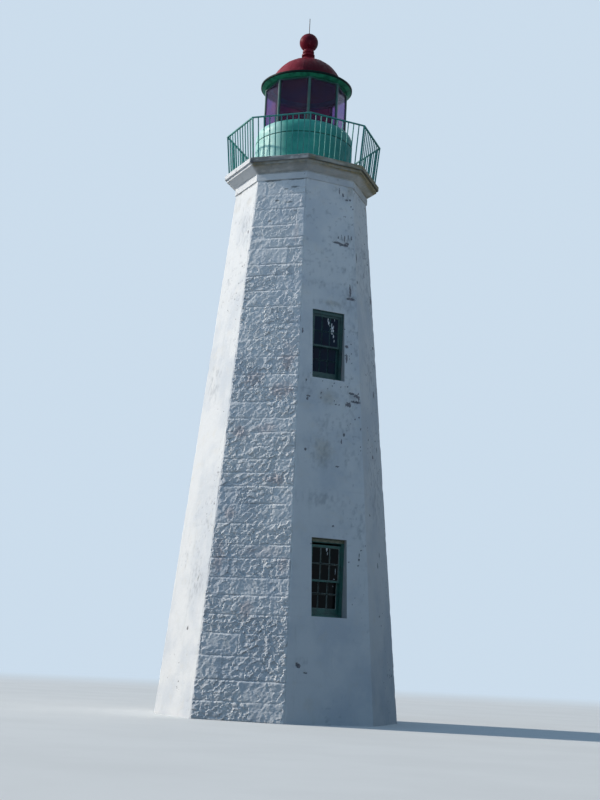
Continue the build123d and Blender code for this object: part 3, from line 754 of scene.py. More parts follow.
# Chips out of the coat
FLAKES = {
    "front": [
        (0.27, 12.90, 0.014, 0.09), (0.38, 12.80, 0.026, 0.05), (0.47, 12.69, 0.045, 0.018),
        (0.58, 12.71, 0.040, 0.022), (0.72, 12.83, 0.030, 0.05), (0.20, 11.50, 0.18, 0.026),
        (0.40, 11.47, 0.14, 0.028), (0.50, 11.53, 0.06, 0.035), (0.24, 11.66, 0.012, 0.06),
        (0.32, 11.68, 0.010, 0.08), (0.42, 11.66, 0.012, 0.07), (0.52, 11.70, 0.010, 0.06),
        (0.61, 11.69, 0.018, 0.06), (0.44, 10.84, 0.10, 0.014), (0.57, 10.31, 0.028, 0.15),
        (0.58, 10.10, 0.12, 0.036), (0.47, 8.86, 0.05, 0.035), (0.46, 8.57, 0.028, 0.09),
        (0.59, 7.70, 0.10, 0.032), (0.74, 7.65, 0.09, 0.034), (0.50, 7.42, 0.10, 0.060),
        (0.71, 7.51, 0.12, 0.030), (0.79, 7.60, 0.022, 0.06), (0.39, 6.67, 0.030, 0.045),
        (0.31, 6.50, 0.018, 0.07), (-0.57, 7.50, 0.06, 0.024), (-0.60, 7.43, 0.035, 0.026),
        (-0.62, 7.88, 0.03, 0.018), (-0.64, 6.21, 0.03, 0.03), (-0.73, 9.10, 0.016, 0.07),
        (0.20, 5.88, 0.05, 0.016), (0.10, 4.46, 0.05, 0.03), (-0.80, 1.27, 0.06, 0.05),
        (-0.62, 1.12, 0.06, 0.022),
    ],
    "left": [(0.45, 3.15, 0.025, 0.08), (0.25, 2.0, 0.05, 0.05), (0.5, 11.75, 0.03, 0.05)],
    "front_right": [
        (-0.58, 11.23, 0.035, 0.12), (0.48, 11.39, 0.050, 0.03), (0.07, 10.96, 0.030, 0.08),
        (-0.62, 10.60, 0.050, 0.03), (0.62, 10.46, 0.07, 0.08), (0.62, 9.21, 0.060, 0.03),
        (0.44, 7.97, 0.050, 0.09), (0.48, 6.59, 0.030, 0.09), (0.06, 6.33, 0.060, 0.04),
        (-0.51, 4.85, 0.040, 0.03), (0.22, 3.97, 0.030, 0.06), (0.03, 3.69, 0.030, 0.07),
        (-0.07, 2.49, 0.060, 0.025),
    ],
    "right": [(0.1, 9.2, 0.10, 0.05), (-0.4, 4.4, 0.06, 0.08)],
    "back": [(0.62, 6.2, 0.08, 0.05), (-0.66, 10.4, 0.05, 0.09), (0.3, 11.3, 0.12, 0.04)],
    "back_left": [(-0.2, 7.3, 0.09, 0.05), (0.4, 3.1, 0.06, 0.07)],
}

# Pinkish stone where the rock face is thinly coated
BLUSHES = {
    "front_left": [
        (0.43, 7.64, 0.30, 0.22), (0.55, 8.50, 0.20, 0.40), (0.10, 6.68, 0.30, 0.14),
        (-0.50, 6.60, 0.20, 0.16), (-0.30, 7.90, 0.25, 0.20), (0.50, 5.46, 0.30, 0.12),
        (-0.78, 3.70, 0.14, 0.45), (0.30, 3.78, 0.55, 0.16), (0.80, 3.50, 0.16, 0.22),
        (0.00, 2.50, 0.16, 0.25), (0.48, 11.60, 0.07, 0.28), (-0.60, 4.65, 0.16, 0.16),
    ],
    "back_right": [(-0.4, 8.1, 0.3, 0.3), (0.5, 5.9, 0.35, 0.2), (0.1, 3.4, 0.4, 0.25)],
}

# Black dirt, and painted shadow in the lines at 13.03 m just under the neck band
DIRT_AND_SHADOW = {
    "front_left": [
        (-0.26, 13.03, 0.27, 0.022), (0.42, 13.03, 0.24, 0.022), (0.37, 12.83, 0.11, 0.024),
        (0.14, 12.79, 0.06, 0.016), (-0.08, 12.49, 0.07, 0.024), (0.24, 12.43, 0.09, 0.018),
        (-0.22, 11.95, 0.07, 0.020), (0.40, 12.20, 0.06, 0.018),
    ],
    "left": [(-0.35, 13.035, 0.22, 0.018), (0.02, 13.035, 0.10, 0.014), (0.38, 13.03, 0.20, 0.020)],
    "back_right": [(0.1, 13.03, 0.5, 0.022)],
}

# Olive smears
SMEARS = {
    "front": [(-0.19, 6.22, 0.22, 0.26), (-0.05, 7.53, 0.22, 0.17), (0.08, 9.91, 0.24, 0.06)],
    "right": [(0.3, 12.7, 0.2, 0.3)],
}

# Thin, dirty coat
STAINS = {
    "front": [
        (0.38, 11.62, 0.34, 0.15), (0.42, 12.80, 0.24, 0.16), (0.70, 11.10, 0.16, 0.42),
        (0.35, 10.80, 0.45, 0.10), (0.60, 10.20, 0.28, 0.42), (-0.10, 10.35, 0.50, 0.10),
        (0.05, 9.85, 0.65, 0.09), (0.72, 9.30, 0.16, 0.40), (0.62, 7.60, 0.30, 0.26),
        (-0.62, 7.70, 0.20, 0.36), (0.15, 6.85, 0.50, 0.22), (-0.30, 6.20, 0.35, 0.40),
        (0.55, 6.05, 0.26, 0.30), (-0.15, 5.05, 0.55, 0.20), (0.75, 4.60, 0.18, 0.45),
        (-0.72, 1.25, 0.20, 0.18),
    ],
    "front_right": [(0.10, 11.0, 0.70, 0.9), (0.30, 8.6, 0.60, 0.8), (0.10, 5.6, 0.60, 0.9)],
    "left": [(0.35, 3.0, 0.40, 0.5), (0.30, 11.9, 0.30, 0.5), (-0.3, 8.0, 0.35, 0.5)],
    "back": [(0.40, 10.6, 0.40, 0.6), (-0.50, 6.4, 0.40, 0.5), (0.70, 3.2, 0.25, 0.5)],
    "right": [(0.20, 9.4, 0.50, 0.7), (-0.35, 4.6, 0.40, 0.6)],
    "back_left": [(-0.30, 10.2, 0.40, 0.6), (0.40, 6.0, 0.40, 0.5), (-0.2, 2.4, 0.5, 0.4)],
}


def stones(x, z, seed):
    """Distance to the bed joints above and below and to the upright joint, and chances."""
    course = np.clip(np.searchsorted(COURSES, z, side="right") - 1, 0, len(COURSES) - 2)
    down, up = z - COURSES[course], COURSES[course + 1] - z
    joint_gap = np.ones_like(x)
    values = np.zeros((3, *x.shape))
    rng = np.random.default_rng(seed)
    for number in range(len(COURSES) - 1):
        joints = rng.uniform(-2.0, -1.4) + np.cumsum(rng.uniform(0.45, 1.05, 10))
        joints = np.concatenate([[-3.0], joints, [5.0]])
        chances = rng.random((3, len(joints)))
        here = course == number
        stone = np.searchsorted(joints, x[here])
        joint_gap[here] = np.minimum(x[here] - joints[stone - 1], joints[stone] - x[here])
        values[:, here] = chances[:, stone]
    return down, up, joint_gap, values


def notch(gap, half):
    """1 in the middle of a V-shaped joint, and 0 outside it."""
    return np.clip(1 - gap / half, 0, 1)


def rock_face(x, z, down, up, joint_gap, chances, seed):
    """Depth of pitched stone: chipped blocks that lean out to a weathered upper edge."""
    broken = 0.45 + 0.55 * smoothstep(0.05, 0.6, chances[1])
    broken = broken * (1 - 0.55 * smoothstep(10.4, 11.3, z))
    across, along = 0.8 * (x - z), 0.6 * (x + z)
    small = 0.35 + 0.65 * smoothstep(-0.30, 0.30, fractal(x, z, 0.40, seed + 6, 2))
    chips = facets(across, along, 0.14, seed, 0.22)
    chips = chips + 0.8 * facets(across, along, 0.070, seed + 1, 0.30)
    chips = chips + small * facets(x, z, 0.042, seed + 7, 0.46)
    depth = 0.010 * (chances[0] - 0.5) + broken * chips + 0.008 * fractal(x, z, 0.30, seed + 2)
    straight = 0.25 + 0.75 * smoothstep(-0.25, 0.25, fractal(x, z, 0.5, seed + 3, 2))
    upper = 0.034 * notch(up, 0.042) - 0.015 * np.exp(-up / 0.10)
    lower = 0.015 * notch(down, 0.016) + 0.004 * np.exp(-down / 0.08)
    depth = depth * (1 - 0.5 * straight * notch(np.minimum(up, down), 0.05))
    upright = 0.009 * notch(joint_gap, 0.020) * (chances[2] > 0.4)
    return np.clip(depth + straight * (upper + lower + upright), -0.020, 0.050)


def smooth_coat(x, z, down, up, joint_gap, seed):
    """Depth of a thick trowelled coat, and how much of it is joint or dent."""
    depth = 0.008 + 0.0035 * fractal(x, z, 0.7, seed) + 0.0030 * fractal(x, z, 0.10, seed + 4)
    showing = smoothstep(0.1, 0.6, fractal(x, z, 0.9, seed + 8, 2))
    joint = showing * np.maximum(notch(np.minimum(up, down), 0.022), 0.4 * notch(joint_gap, 0.018))
    weathered = smoothstep(-0.3, 0.6, fractal(x, z, 1.2, seed + 12, 2) + 0.05 * (z - 6) + 0.4 * x)
    dents = smoothstep(0.25, 0.60, fractal(x, z, 0.09, seed + 14, 3)) * weathered
    return depth + 0.003 * joint + 0.005 * dents, np.maximum(0.08 * joint, 0.30 * dents)


def spots(table, side, x, z, seed, edge):
    """A side's ragged spots from a table of marks, from 0 to 1."""
    ragged = fractal(x, z, 0.06, seed, 3)
    found = np.zeros_like(x)
    for centre, level, half_width, half_height in table.get(side, []):
        distance = np.hypot((x - centre) / half_width, (z - level) / half_height)
        found = np.maximum(found, 1 - smoothstep(*edge, distance + 0.55 * ragged))
    return found


def flakes(side, x, z, seed):
    """Where the coat has come off, from 0 to 1."""
    weathered = smoothstep(-0.1, 0.5, fractal(x, z, 1.3, seed + 5, 2) + 0.35 * x)
    specks = smoothstep(0.70, 0.80, fractal(x, z, 0.060, seed + 9, 3) + 0.16 * weathered)
    return np.maximum(spots(FLAKES, side, x, z, seed, (0.4, 1.5)), specks * weathered)


def wall_surface(side, x, z, seed):
    """How deep a wall's surface lies and, for its material, where it is marked."""
    rough = ROUGH_SIDES.get(side, 0.0)
    waved_x = x + 0.010 * value_noise(x, z, 0.21, seed)
    waved_z = z + 0.006 * value_noise(x, z, 0.33, seed + 1)
    down, up, joint_gap, chances = stones(waved_x, waved_z, seed + 2)
    rock = rock_face(x, z, down, up, joint_gap, chances, seed + 4)
    coat, worn = smooth_coat(x, z, down, up, joint_gap, seed + 5)
    off = flakes(side, x, z, seed + 6) * (1 - 0.8 * rough)
    depth = coat * (1 - rough) + rock * rough + 0.006 * off
    hollow = depth - blurred(depth, 5 if side in FINE_COLUMNS else 3, 3)
    # Painted shade: the rock face is darkened in its hollows, and the smooth coat at its joints and
    # dents
    recess = 0.20 * rough * smoothstep(0.001, 0.012, hollow) + (1 - rough) * worn
    shown = smoothstep(-0.2, 0.3, fractal(x, z, 0.8, seed + 13, 2))
    # Painted shadow under the upper stone at each bed joint of the rough walls; the share by stone is
    # random tone
    bed = notch(np.minimum(up, down), JOINT_SHADOW_REACH) * shown
    recess = np.maximum(recess, rough * (0.40 * bed + 0.10 * chances[1]))
    stained = spots(STAINS, side, x, z, seed + 14, (0.2, 1.6))
    mottled = smoothstep(-0.15, 0.45, fractal(x * 1.4, z * 0.8, 0.10, seed + 15, 3))
    recess = np.clip(recess + 0.34 * stained * mottled, 0, 1)
    tint = spots(BLUSHES, side, x, z, seed + 8, (0.5, 1.3)) * (0.35 + 0.65 * chances[2])
    algae = 0.30 * smoothstep(12.3, 13.0, z) * smoothstep(0.1, 0.6, fractal(x, z, 0.3, seed + 7))
    algae = np.maximum(algae, 0.28 * spots(SMEARS, side, x, z, seed + 11, (0.2, 1.6)))
    # Black dirt, with painted shadow lines under the neck band
    grime_and_shade = 0.75 * spots(DIRT_AND_SHADOW, side, x, z, seed + 10, (0.5, 1.3))
    return depth, {"recess": recess, "bare": off, "tint": tint, "algae": algae, "grime_and_shade": grime_and_shade}


def corner_depth(corner, z):
    """How far the arris after a side is worn back; both of its walls use it."""
    seed = 700 + 10 * corner
    sides = SIDES[corner % len(SIDES)], SIDES[(corner + 1) % len(SIDES)]
    rough = max(ROUGH_SIDES.get(side, 0.0) for side in sides)
    line = np.zeros_like(z)
    depth = 0.006 + 0.004 * rough + (0.003 + 0.003 * rough) * fractal(z, line, 0.16, seed)
    course = np.searchsorted(COURSES, z)
    depth = depth + 0.010 * rough * np.random.default_rng(seed).random(len(COURSES) + 1)[course]
    rng = np.random.default_rng(seed + 1)
    for level in rng.uniform(0.3, WALL_HEIGHT - 0.3, 18):
        length, bite = rng.uniform(0.03, 0.09), rng.uniform(0.005, 0.015)
        depth = depth + bite * np.exp(-(((z - level) / length) ** 2))
    return depth


def column_places(side, z):
    """Where the grid's columns are at each level, and the columns at the sides of holes."""
    half = outer_apothem(z) * HALF_SIDE
    holes = HOLES.get(side)
    if not holes:
        columns = FINE_COLUMNS.get(side, PLAIN_COLUMNS)
        return half[:, None] * np.linspace(-1, 1, columns + 1), None
    levels = [level for hole in holes for level in hole[2:]]
    left = np.interp(z, levels, [hole[0] for hole in holes for _ in range(2)])
    right = np.interp(z, levels, [hole[1] for hole in holes for _ in range(2)])
    side_share = np.linspace(0, 1, SIDE_BAND_COLUMNS + 1)
    middle_share = np.linspace(0, 1, MIDDLE_BAND_COLUMNS + 1)[1:]
    bands = [
        -half[:, None] + (left + half)[:, None] * side_share,
        left[:, None] + (right - left)[:, None] * middle_share,
        right[:, None] + (half - right)[:, None] * side_share[1:],
    ]
    return np.concatenate(bands, 1), (SIDE_BAND_COLUMNS, SIDE_BAND_COLUMNS + MIDDLE_BAND_COLUMNS)


def inner_face(side, z, edges):
    """A wall's inner grid of points: its ends are mitred and its holes run straight in."""
    x, _ = column_places(side, z)
    apothem = inner_apothem(z)
    mitred = x * (apothem / outer_apothem(z))[:, None]
    if edges:
        left, right = edges
        start, end = x[:, :1], x[:, -1:]
        left_jamb, right_jamb = x[:, left : left + 1], x[:, right : right + 1]
        left_share = (x[:, :left] - start) / (left_jamb - start)
        right_share = (x[:, right + 1 :] - right_jamb) / (end - right_jamb)
        left_part = mitred[:, :1] + left_share * (left_jamb - mitred[:, :1])
        right_part = right_jamb + right_share * (mitred[:, -1:] - right_jamb)
        mitred = np.concatenate([left_part, x[:, left : right + 1], right_part], 1)
    columns = x.shape[1]
    return np.stack([mitred, spread(-apothem, columns), spread(z, columns)], -1)


def wall_levels(side):
    """A wall's rows, which of them reach the inner face, and the rows that all walls share."""
    tops = [level for holes in HOLES.values() for hole in holes for level in hole[2:]]
    keys = sorted({0.0, WALL_HEIGHT, *tops})
    shared, marks = graded(keys, STEP)
    if side not in FINE_COLUMNS:
        return shared, marks, shared, keys
    halved = np.arange(2 * len(shared) - 1) / 2
    return np.interp(halved, np.arange(len(shared)), shared), [2 * mark for mark in marks], shared, keys


def masonry(side):
    """One wall with its stones, coat, holes and worn arrises."""
    number = SIDES.index(side)
    levels, marks, shared, keys = wall_levels(side)
    x, edges = column_places(side, levels)
    z = spread(levels, x.shape[1])
    depth, values = wall_surface(side, x, z, 100 + 20 * number)
    half = outer_apothem(z) * HALF_SIDE
    edge_share = 1 - smoothstep(0.0, ARRIS_WIDTH, half - np.abs(x))
    arris = [np.interp(levels, shared, corner_depth(number + i, shared)) for i in (-1, 0)]
    edge_depth = np.where(x < 0, arris[0][:, None], arris[1][:, None])
    depth = depth * (1 - edge_share) + edge_depth * edge_share
    mitred_x = x - np.sign(x) * edge_share * depth * HALF_SIDE
    outer = np.stack([mitred_x, depth - outer_apothem(z), z], -1)
    outer, inner = to_side(outer, side), to_side(inner_face(side, levels[marks], edges), side)
    holes = [(keys.index(low), keys.index(high), *edges) for _, _, low, high in HOLES.get(side, [])]
    mesh = shell_mesh(f"masonry_{side}", outer, inner, marks, holes, **values)
    materials = [WHITEWASH, SHADED_REVEAL_WASH, BARE_STONE]
    sharp = ROCK_SHARP if side in FINE_COLUMNS else COAT_SHARP
    add_piece(mesh.name, mesh, materials, [f"wall_{side}"], sharp)


for side in SIDES:
    masonry(side)


# Neck course, cornice and deck: octagonal rings with slightly uneven faces

RING_COLUMNS = 44
RING_STEP = 0.03
RING_WEAR = 0.004
RING_CHIP = 0.012
RING_PLAIN_APOTHEM = INNER_TOP_APOTHEM + 0.2
CORNICE_FILLET = 0.006
CORNICE_FOOT = 0.045
CORNICE_LIP = 0.065
CORNICE_STEP = 0.016
DECK_WASH = 0.012
DECK_CORE_APOTHEM = 1.2
HATCH_LAP = 0.04

# Black dirt with painted shade, strongest on the sides away from the sun, and olive growth on the rings:
# azimuth in degrees and strength
GRIME_AND_SHADE = {
    "neck_band": [(0, 0.2), (45, 0.2), (135, 0.0), (203, 0.0), (205, 0.1), (360, 0.2)],
    "cornice_band": [
        (0, 0.4), (45, 0.3), (135, 0.1), (202, 0.03), (204, 0.45), (246, 0.40), (250, 0.15),
        (300, 0.05), (345, 0.05), (360, 0.4),
    ],
    "deck_rim": [
        (0, 0.7), (45, 0.8), (90, 0.6), (157, 0.3), (158, 0.05), (202, 0.05), (203, 0.85),
        (247, 0.70), (250, 0.50), (265, 0.30), (292, 0.30), (325, 0.35), (337, 0.15), (350, 0.35),
        (360, 0.7),
    ],
}
GROWTH = {
    "neck_band": [(0, 0.1), (20, 0.0), (290, 0.0), (337, 0.3), (360, 0.1)],
    "cornice_band": [
        (0, 0.5), (45, 0.3), (157, 0.1), (158, 0.0), (202, 0.0), (204, 0.85), (216, 0.65),
        (247, 0.65), (270, 0.80), (290, 1.05), (310, 1.2), (337, 1.5), (350, 1.0), (360, 0.5),
    ],
    "deck_rim": [
        (0, 0.4), (90, 0.3), (157, 0.1), (158, 0.0), (202, 0.0), (203, 0.1), (246, 0.2),
        (250, 0.85), (275, 0.75), (292, 0.90), (325, 1.2), (337, 1.4), (350, 0.8), (360, 0.4),
    ],
}


def by_azimuth(table, angle):
    """Strengths from a table of azimuths in degrees."""
    turn = np.degrees(angle) % 360
    return np.interp(turn, [row[0] for row in table], [row[1] for row in table])


def ring_outline(profile):
    """A closed outline with points about a step apart where it is near the outside."""
    outline = []
    for (a0, z0), (a1, z1) in zip(profile, profile[1:] + profile[:1]):
        count = max(1, round(math.hypot(a1 - a0, z1 - z0) / RING_STEP))
        if min(a0, a1) < RING_PLAIN_APOTHEM:
            count = 1
        for i in range(count):
            outline.append((a0 + (a1 - a0) * i / count, z0 + (z1 - z0) * i / count))
    return np.array(outline)


def octagon_ring(name, replaced, profile, seed):
    """A ring of stone from a closed outline of (apothem, height) points, worn on its outside."""
    outline = ring_outline(profile)
    limit = outline[:, 0].max()
    total = RING_COLUMNS * len(SIDES)
    column = np.arange(total)
    share = (column % RING_COLUMNS) / RING_COLUMNS * 2 - 1
    apothem, z = (spread(values, total) for values in outline.T)
    along = column * (limit * 2 * HALF_SIDE / RING_COLUMNS)
    path = spread(np.concatenate([[0], np.cumsum(np.hypot(*np.diff(outline, axis=0).T))]), total)
    edge = np.exp(-((limit - apothem) / 0.02) ** 2)
    bites = smoothstep(0.45, 0.8, fractal(along, path, 0.11, seed, 2)) * edge
    depth = RING_WEAR * (0.6 + 0.6 * fractal(along, path, 0.25, seed + 3)) + RING_CHIP * bites
    shrunk = apothem - np.where(apothem < RING_PLAIN_APOTHEM, 0, np.clip(depth, 0, None))
    points = np.stack([share * shrunk * HALF_SIDE, -shrunk, z], -1)
    points = turned(points, SIDE_TURN * (column // RING_COLUMNS))
    azimuth = np.arctan2(points[..., 1], points[..., 0])
    speckle = smoothstep(-0.45, 0.20, fractal(along * 0.35, path * 2, 0.10, seed + 6))
    outward = 0.42 + 0.58 * smoothstep(limit - 0.10, limit - 0.02, apothem)
    algae = by_azimuth(GROWTH[name], azimuth) * outward * (0.65 + 0.35 * speckle)
    patchy = 0.5 + 0.5 * smoothstep(-0.5, 0.2, fractal(along * 0.5, path, 0.07, seed + 8))
    # Black dirt with painted shade on the sides away from the sun
    grime_and_shade = by_azimuth(GRIME_AND_SHADE[name], azimuth) * patchy * (apothem > limit - 0.25)
    # Painted shadow along the lower edge of the deck's rim, where it overhangs
    if name == "deck_rim":
        grime_and_shade = np.maximum(grime_and_shade, 0.75 * (z < outline[:, 1].min() + 0.02) * (grime_and_shade > 0.1))
    mesh = ring_mesh(name, points)
    set_attribute(mesh, "algae", np.clip(algae, 0, 0.85))
    set_attribute(mesh, "bare", bites * 0.7)
    set_attribute(mesh, "grime_and_shade", grime_and_shade)
    add_piece(name, mesh, [WHITEWASH], [replaced], RING_SHARP)


def neck_profile():
    """The plain projecting course."""
    low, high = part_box("neck_course")
    inner, outer = INNER_TOP_APOTHEM, high.x
    return [(inner, low.z), (outer, low.z), (outer, high.z), (inner, high.z)]


def cornice_profile():
    """Foot fillet, splay and lip."""
    low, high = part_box("cornice")
    foot = WALL_TOP_APOTHEM + CORNICE_FILLET
    foot_level, lip_level = low.z + CORNICE_FOOT, high.z - CORNICE_LIP
    lower = [(INNER_TOP_APOTHEM, low.z), (foot, low.z), (foot, foot_level)]
    splay = [(foot + CORNICE_STEP, foot_level), (high.x - CORNICE_STEP, lip_level)]
    return lower + splay + [(high.x, lip_level), (high.x, high.z), (INNER_TOP_APOTHEM, high.z)]


def deck_profile():
    """The deck's rim, from under the parapet to its edge."""
    low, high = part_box("gallery_deck")
    edge = [(high.x, low.z), (high.x, high.z - DECK_WASH), (high.x - DECK_WASH, high.z)]
    return [(DECK_CORE_APOTHEM, low.z), *edge, (DECK_CORE_APOTHEM, high.z)]


octagon_ring("neck_band", "neck_course", neck_profile(), 41)
octagon_ring("cornice_band", "cornice", cornice_profile(), 51)
octagon_ring("deck_rim", "gallery_deck", deck_profile(), 61)


def deck_core():
    """The middle of the deck, with the trap door's hole."""
    low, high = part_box("gallery_deck")
    hatch_low, hatch_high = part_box("deck_hatch")
    left, right = hatch_low.x + HATCH_LAP, hatch_high.x - HATCH_LAP
    near, far = hatch_low.y + HATCH_LAP, hatch_high.y - HATCH_LAP
    hole = [(left, near), (right, near), (right, far), (left, far)]
    corner = DECK_CORE_APOTHEM * VERTEX
    angles = [SIDE_TURN * (i + 0.5) for i in range(len(SIDES))]
    rim = [(corner * math.cos(angle), corner * math.sin(angle)) for angle in angles]
    points = [Vector((x, y, z)) for z in (low.z, high.z) for x, y in rim + hole]
    count = len(rim + hole)
    faces = []
    for a, b, c in tessellate_polygon([points[: len(rim)], points[len(rim) : count]]):
        if (points[b] - points[a]).cross(points[c] - points[a]).z < 0:
            a, b = b, a
        faces += [(c, b, a), (a + count, b + count, c + count)]
    rim_walls = [(i, (i + 1) % len(rim)) for i in range(len(rim))]
    hole_walls = [(len(rim) + (i + 1) % len(hole), len(rim) + i) for i in range(len(hole))]
    for a, b in rim_walls + hole_walls:
        faces.append((a, b, b + count, a + count))
    mesh = bpy.data.meshes.new("deck_core")
    mesh.from_pydata(points, [], faces)
    add_piece("deck_core", mesh, [WHITEWASH], ["gallery_deck"])


deck_core()


# Round parapet

DRUM_COLUMNS = 168
DRUM_DOOR_COLUMNS = 16
DRUM_STEP = 0.04
SEAM_GROOVE = 0.012
SEAM_GROOVE_HEIGHT = 0.018
CAP_EASE = 0.003
CAP_LIP = 0.010 / 3
CAP_LIP_HEIGHT = 0.035
CAP_STEPS = 14


def drum():
    """The parapet's drum, with the gallery door's hole and a groove under the seam."""
    low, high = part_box("parapet_wall")
    door_low, door_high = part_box("gallery_door")
    radius = high.x
    groove_level = high.z - SEAM_GROOVE_HEIGHT
    keys = [low.z, door_low.z - FIT, door_high.z + FIT, groove_level, high.z]
    levels, marks = graded(keys, DRUM_STEP)
    plain = DRUM_COLUMNS - DRUM_DOOR_COLUMNS
    columns = []
    for limit in (radius, PARAPET_INNER_RADIUS):
        gap = math.asin((door_high.x + FIT) / limit)
        past = np.linspace(gap, math.tau - gap, plain + 1)[:-1]
        door = math.tau - gap + 2 * gap * np.arange(DRUM_DOOR_COLUMNS) / DRUM_DOOR_COLUMNS
        columns.append(math.pi / 2 + np.concatenate([past, door]))
    z = spread(levels, DRUM_COLUMNS)
    depth = 0.0015 + 0.0012 * fractal(columns[0] * radius, z, 0.3, 81)
    groove = smoothstep(groove_level - 0.004, groove_level + 0.002, z)
    outer = around(radius - (depth + SEAM_GROOVE * groove), columns[0], z)
    inner = around(PARAPET_INNER_RADIUS, columns[1], spread(levels[marks], DRUM_COLUMNS))
    # Painted shade in the groove and along the foot
    recess = np.maximum(groove, 0.6 * np.exp((low.z - z) / 0.03))
    holes = [(1, 2, plain, DRUM_COLUMNS)]
    mesh = shell_mesh("parapet_drum", outer, inner, marks, holes, wrap=True, recess=recess)
    add_piece(mesh.name, mesh, [PARAPET_PAINT] * 3, ["parapet_wall"])


def parapet_cap():
    """The rounded shoulder over the seam, down to its small drip lip."""
    low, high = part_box("parapet_shoulder")
    inner, radius = PARAPET_INNER_RADIUS, high.x
    waist = radius - CAP_LIP
    top_radius = LANTERN_APOTHEM * VERTEX + 0.004
    lip_level, straight_top = low.z + CAP_LIP_HEIGHT, low.z + SHOULDER_STRAIGHT
    profile = [(inner, low.z), (radius - CAP_EASE, low.z), (radius, low.z + CAP_EASE)]
    profile += [(radius, lip_level), (waist, lip_level + 0.005), (waist, straight_top)]
    for i in range(1, CAP_STEPS + 1):
        angle = math.pi / 2 * i / CAP_STEPS
        across = (waist - top_radius) * math.cos(angle)
        up = (high.z - straight_top) * math.sin(angle)
        profile.append((top_radius + across, straight_top + up))
    profile.append((inner, high.z))
    lathe("parapet_cap", profile, DRUM_COLUMNS, PARAPET_PAINT, ["parapet_shoulder"])


drum()
parapet_cap()


# Fittings of the railing, lantern and roof

ROUND_HEAD = [(1.0, 0.0), (0.94, 0.35), (0.72, 0.7), (0.38, 0.93), (0.1, 1.0)]
FLANGE = [(0.026, 0.0005), (0.026, 0.006), (0.019, 0.013), (0.0165, 0.022)]
PLATE_HALF = 0.042
PLATE_BOLT = 0.031
MULLION_HALF = 0.029
BEAD_WIDTH = 0.010
BEAD_DEPTH = 0.012
BEAD_LAP = 0.001
BEAD_FIT = 0.0004
BEAD_SCREWS = 6
BEAD_SCREW_INSET = 0.004
BEAD_SCREW_END = 0.08
RING_SCREWS = 5
RING_SCREW_REACH = 0.3
RING_SCREW_BELOW = 0.018
RING_SCREW_ABOVE = 0.015
SEAMS = 16
SEAM_STEPS = 18
SEAM_OUTLINE = [(-0.013, -0.002), (0.013, -0.002), (0.010, 0.003), (-0.010, 0.003)]
SEAM_START = 0.03
SEAM_OVERLAP = 0.01
BAND_COLUMNS = 128
BAND_HEIGHT = 0.03
BAND_RIVETS = 64
BALL_BAND_COLUMNS = 72


def head(radius, rise):
    """A bolt or rivet head's outline, sunk a little into what it is on."""
    return [(radius, -0.002)] + [(radius * r, rise * h) for r, h in ROUND_HEAD]


def railing_feet():
    """A small flange under each baluster and a square plate with bolts under each post."""
    apothem = -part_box("railing_front")[1].y + BALUSTER / 2
    corner, angle = apothem * VERTEX, SIDE_TURN / 2
    middle = Vector((corner * math.sin(angle), -corner * math.cos(angle), DECK_TOP))
    inward = Vector((-math.sin(angle), math.cos(angle), 0))
    across = Vector((math.cos(angle), math.sin(angle), 0))
    half = PLATE_HALF
    outline = [(-half, -half), (half, -half), (half, half), (-half, half)]
    rings = []
    for scale, rise in ((1, 0.0005), (1, 0.010), (0.93, 0.013)):
        raised = middle + Vector((0, 0, rise))
        rings.append([tuple(raised + (across * u + inward * v) * scale) for u, v in outline])
    parts = Parts()
    for side in SIDES:
        for number in range(1, BALUSTERS_PER_SIDE + 1):
            share = 2 * number / (BALUSTERS_PER_SIDE + 1) - 1
            parts.knob((share * apothem * HALF_SIDE, -apothem, DECK_TOP), (0, 0, 1), FLANGE, 12, side)
        parts.tube(rings, side)
        for u in (-PLATE_BOLT, PLATE_BOLT):
            for v in (-PLATE_BOLT, PLATE_BOLT):
                bolt = middle + across * u + inward * v + Vector((0, 0, 0.012))
                parts.knob(bolt, (0, 0, 1), head(0.007, 0.006), 8, side)
    parts.make("railing_feet", RAILING_PAINT, "railing_paint")


def lantern_beads():
    """Glazing beads round each tall pane, and their screws."""
    glass_low, glass_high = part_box("lantern_glass")
    face = glass_high.x
    half = face * HALF_SIDE - MULLION_HALF / math.cos(SIDE_TURN / 2) + BEAD_LAP
    low, high = glass_low.z - BEAD_FIT, glass_high.z + BEAD_FIT
    width, depth = BEAD_WIDTH, BEAD_DEPTH
    profile = [(0, -0.0003), (0, -depth), (width * 0.45, -depth), (width, -depth * 0.45)]
    profile.append((width, -0.0003))
    parts = Parts()

    def screw(x, y, level, outline):
        parts.knob((x, y, level), (0, -1, 0), outline, 8, side)

    bead_levels = np.linspace(low + BEAD_SCREW_END, high - BEAD_SCREW_END, BEAD_SCREWS)
    for side in SIDES:
        parts.picture_frame((-half, half), (low, high), -face, profile, side)
        for x in (-half + BEAD_SCREW_INSET, half - BEAD_SCREW_INSET):
            for level in bead_levels:
                screw(x, -face - depth + 0.001, level, head(0.003, 0.002))
        for level in (low - RING_SCREW_BELOW, high + RING_SCREW_ABOVE):
            for x in np.linspace(-RING_SCREW_REACH, RING_SCREW_REACH, RING_SCREWS):
                screw(x, -LANTERN_APOTHEM, level, head(0.008, 0.005))
    parts.make("lantern_beads", BEAD_PAINT, "lantern_paint")


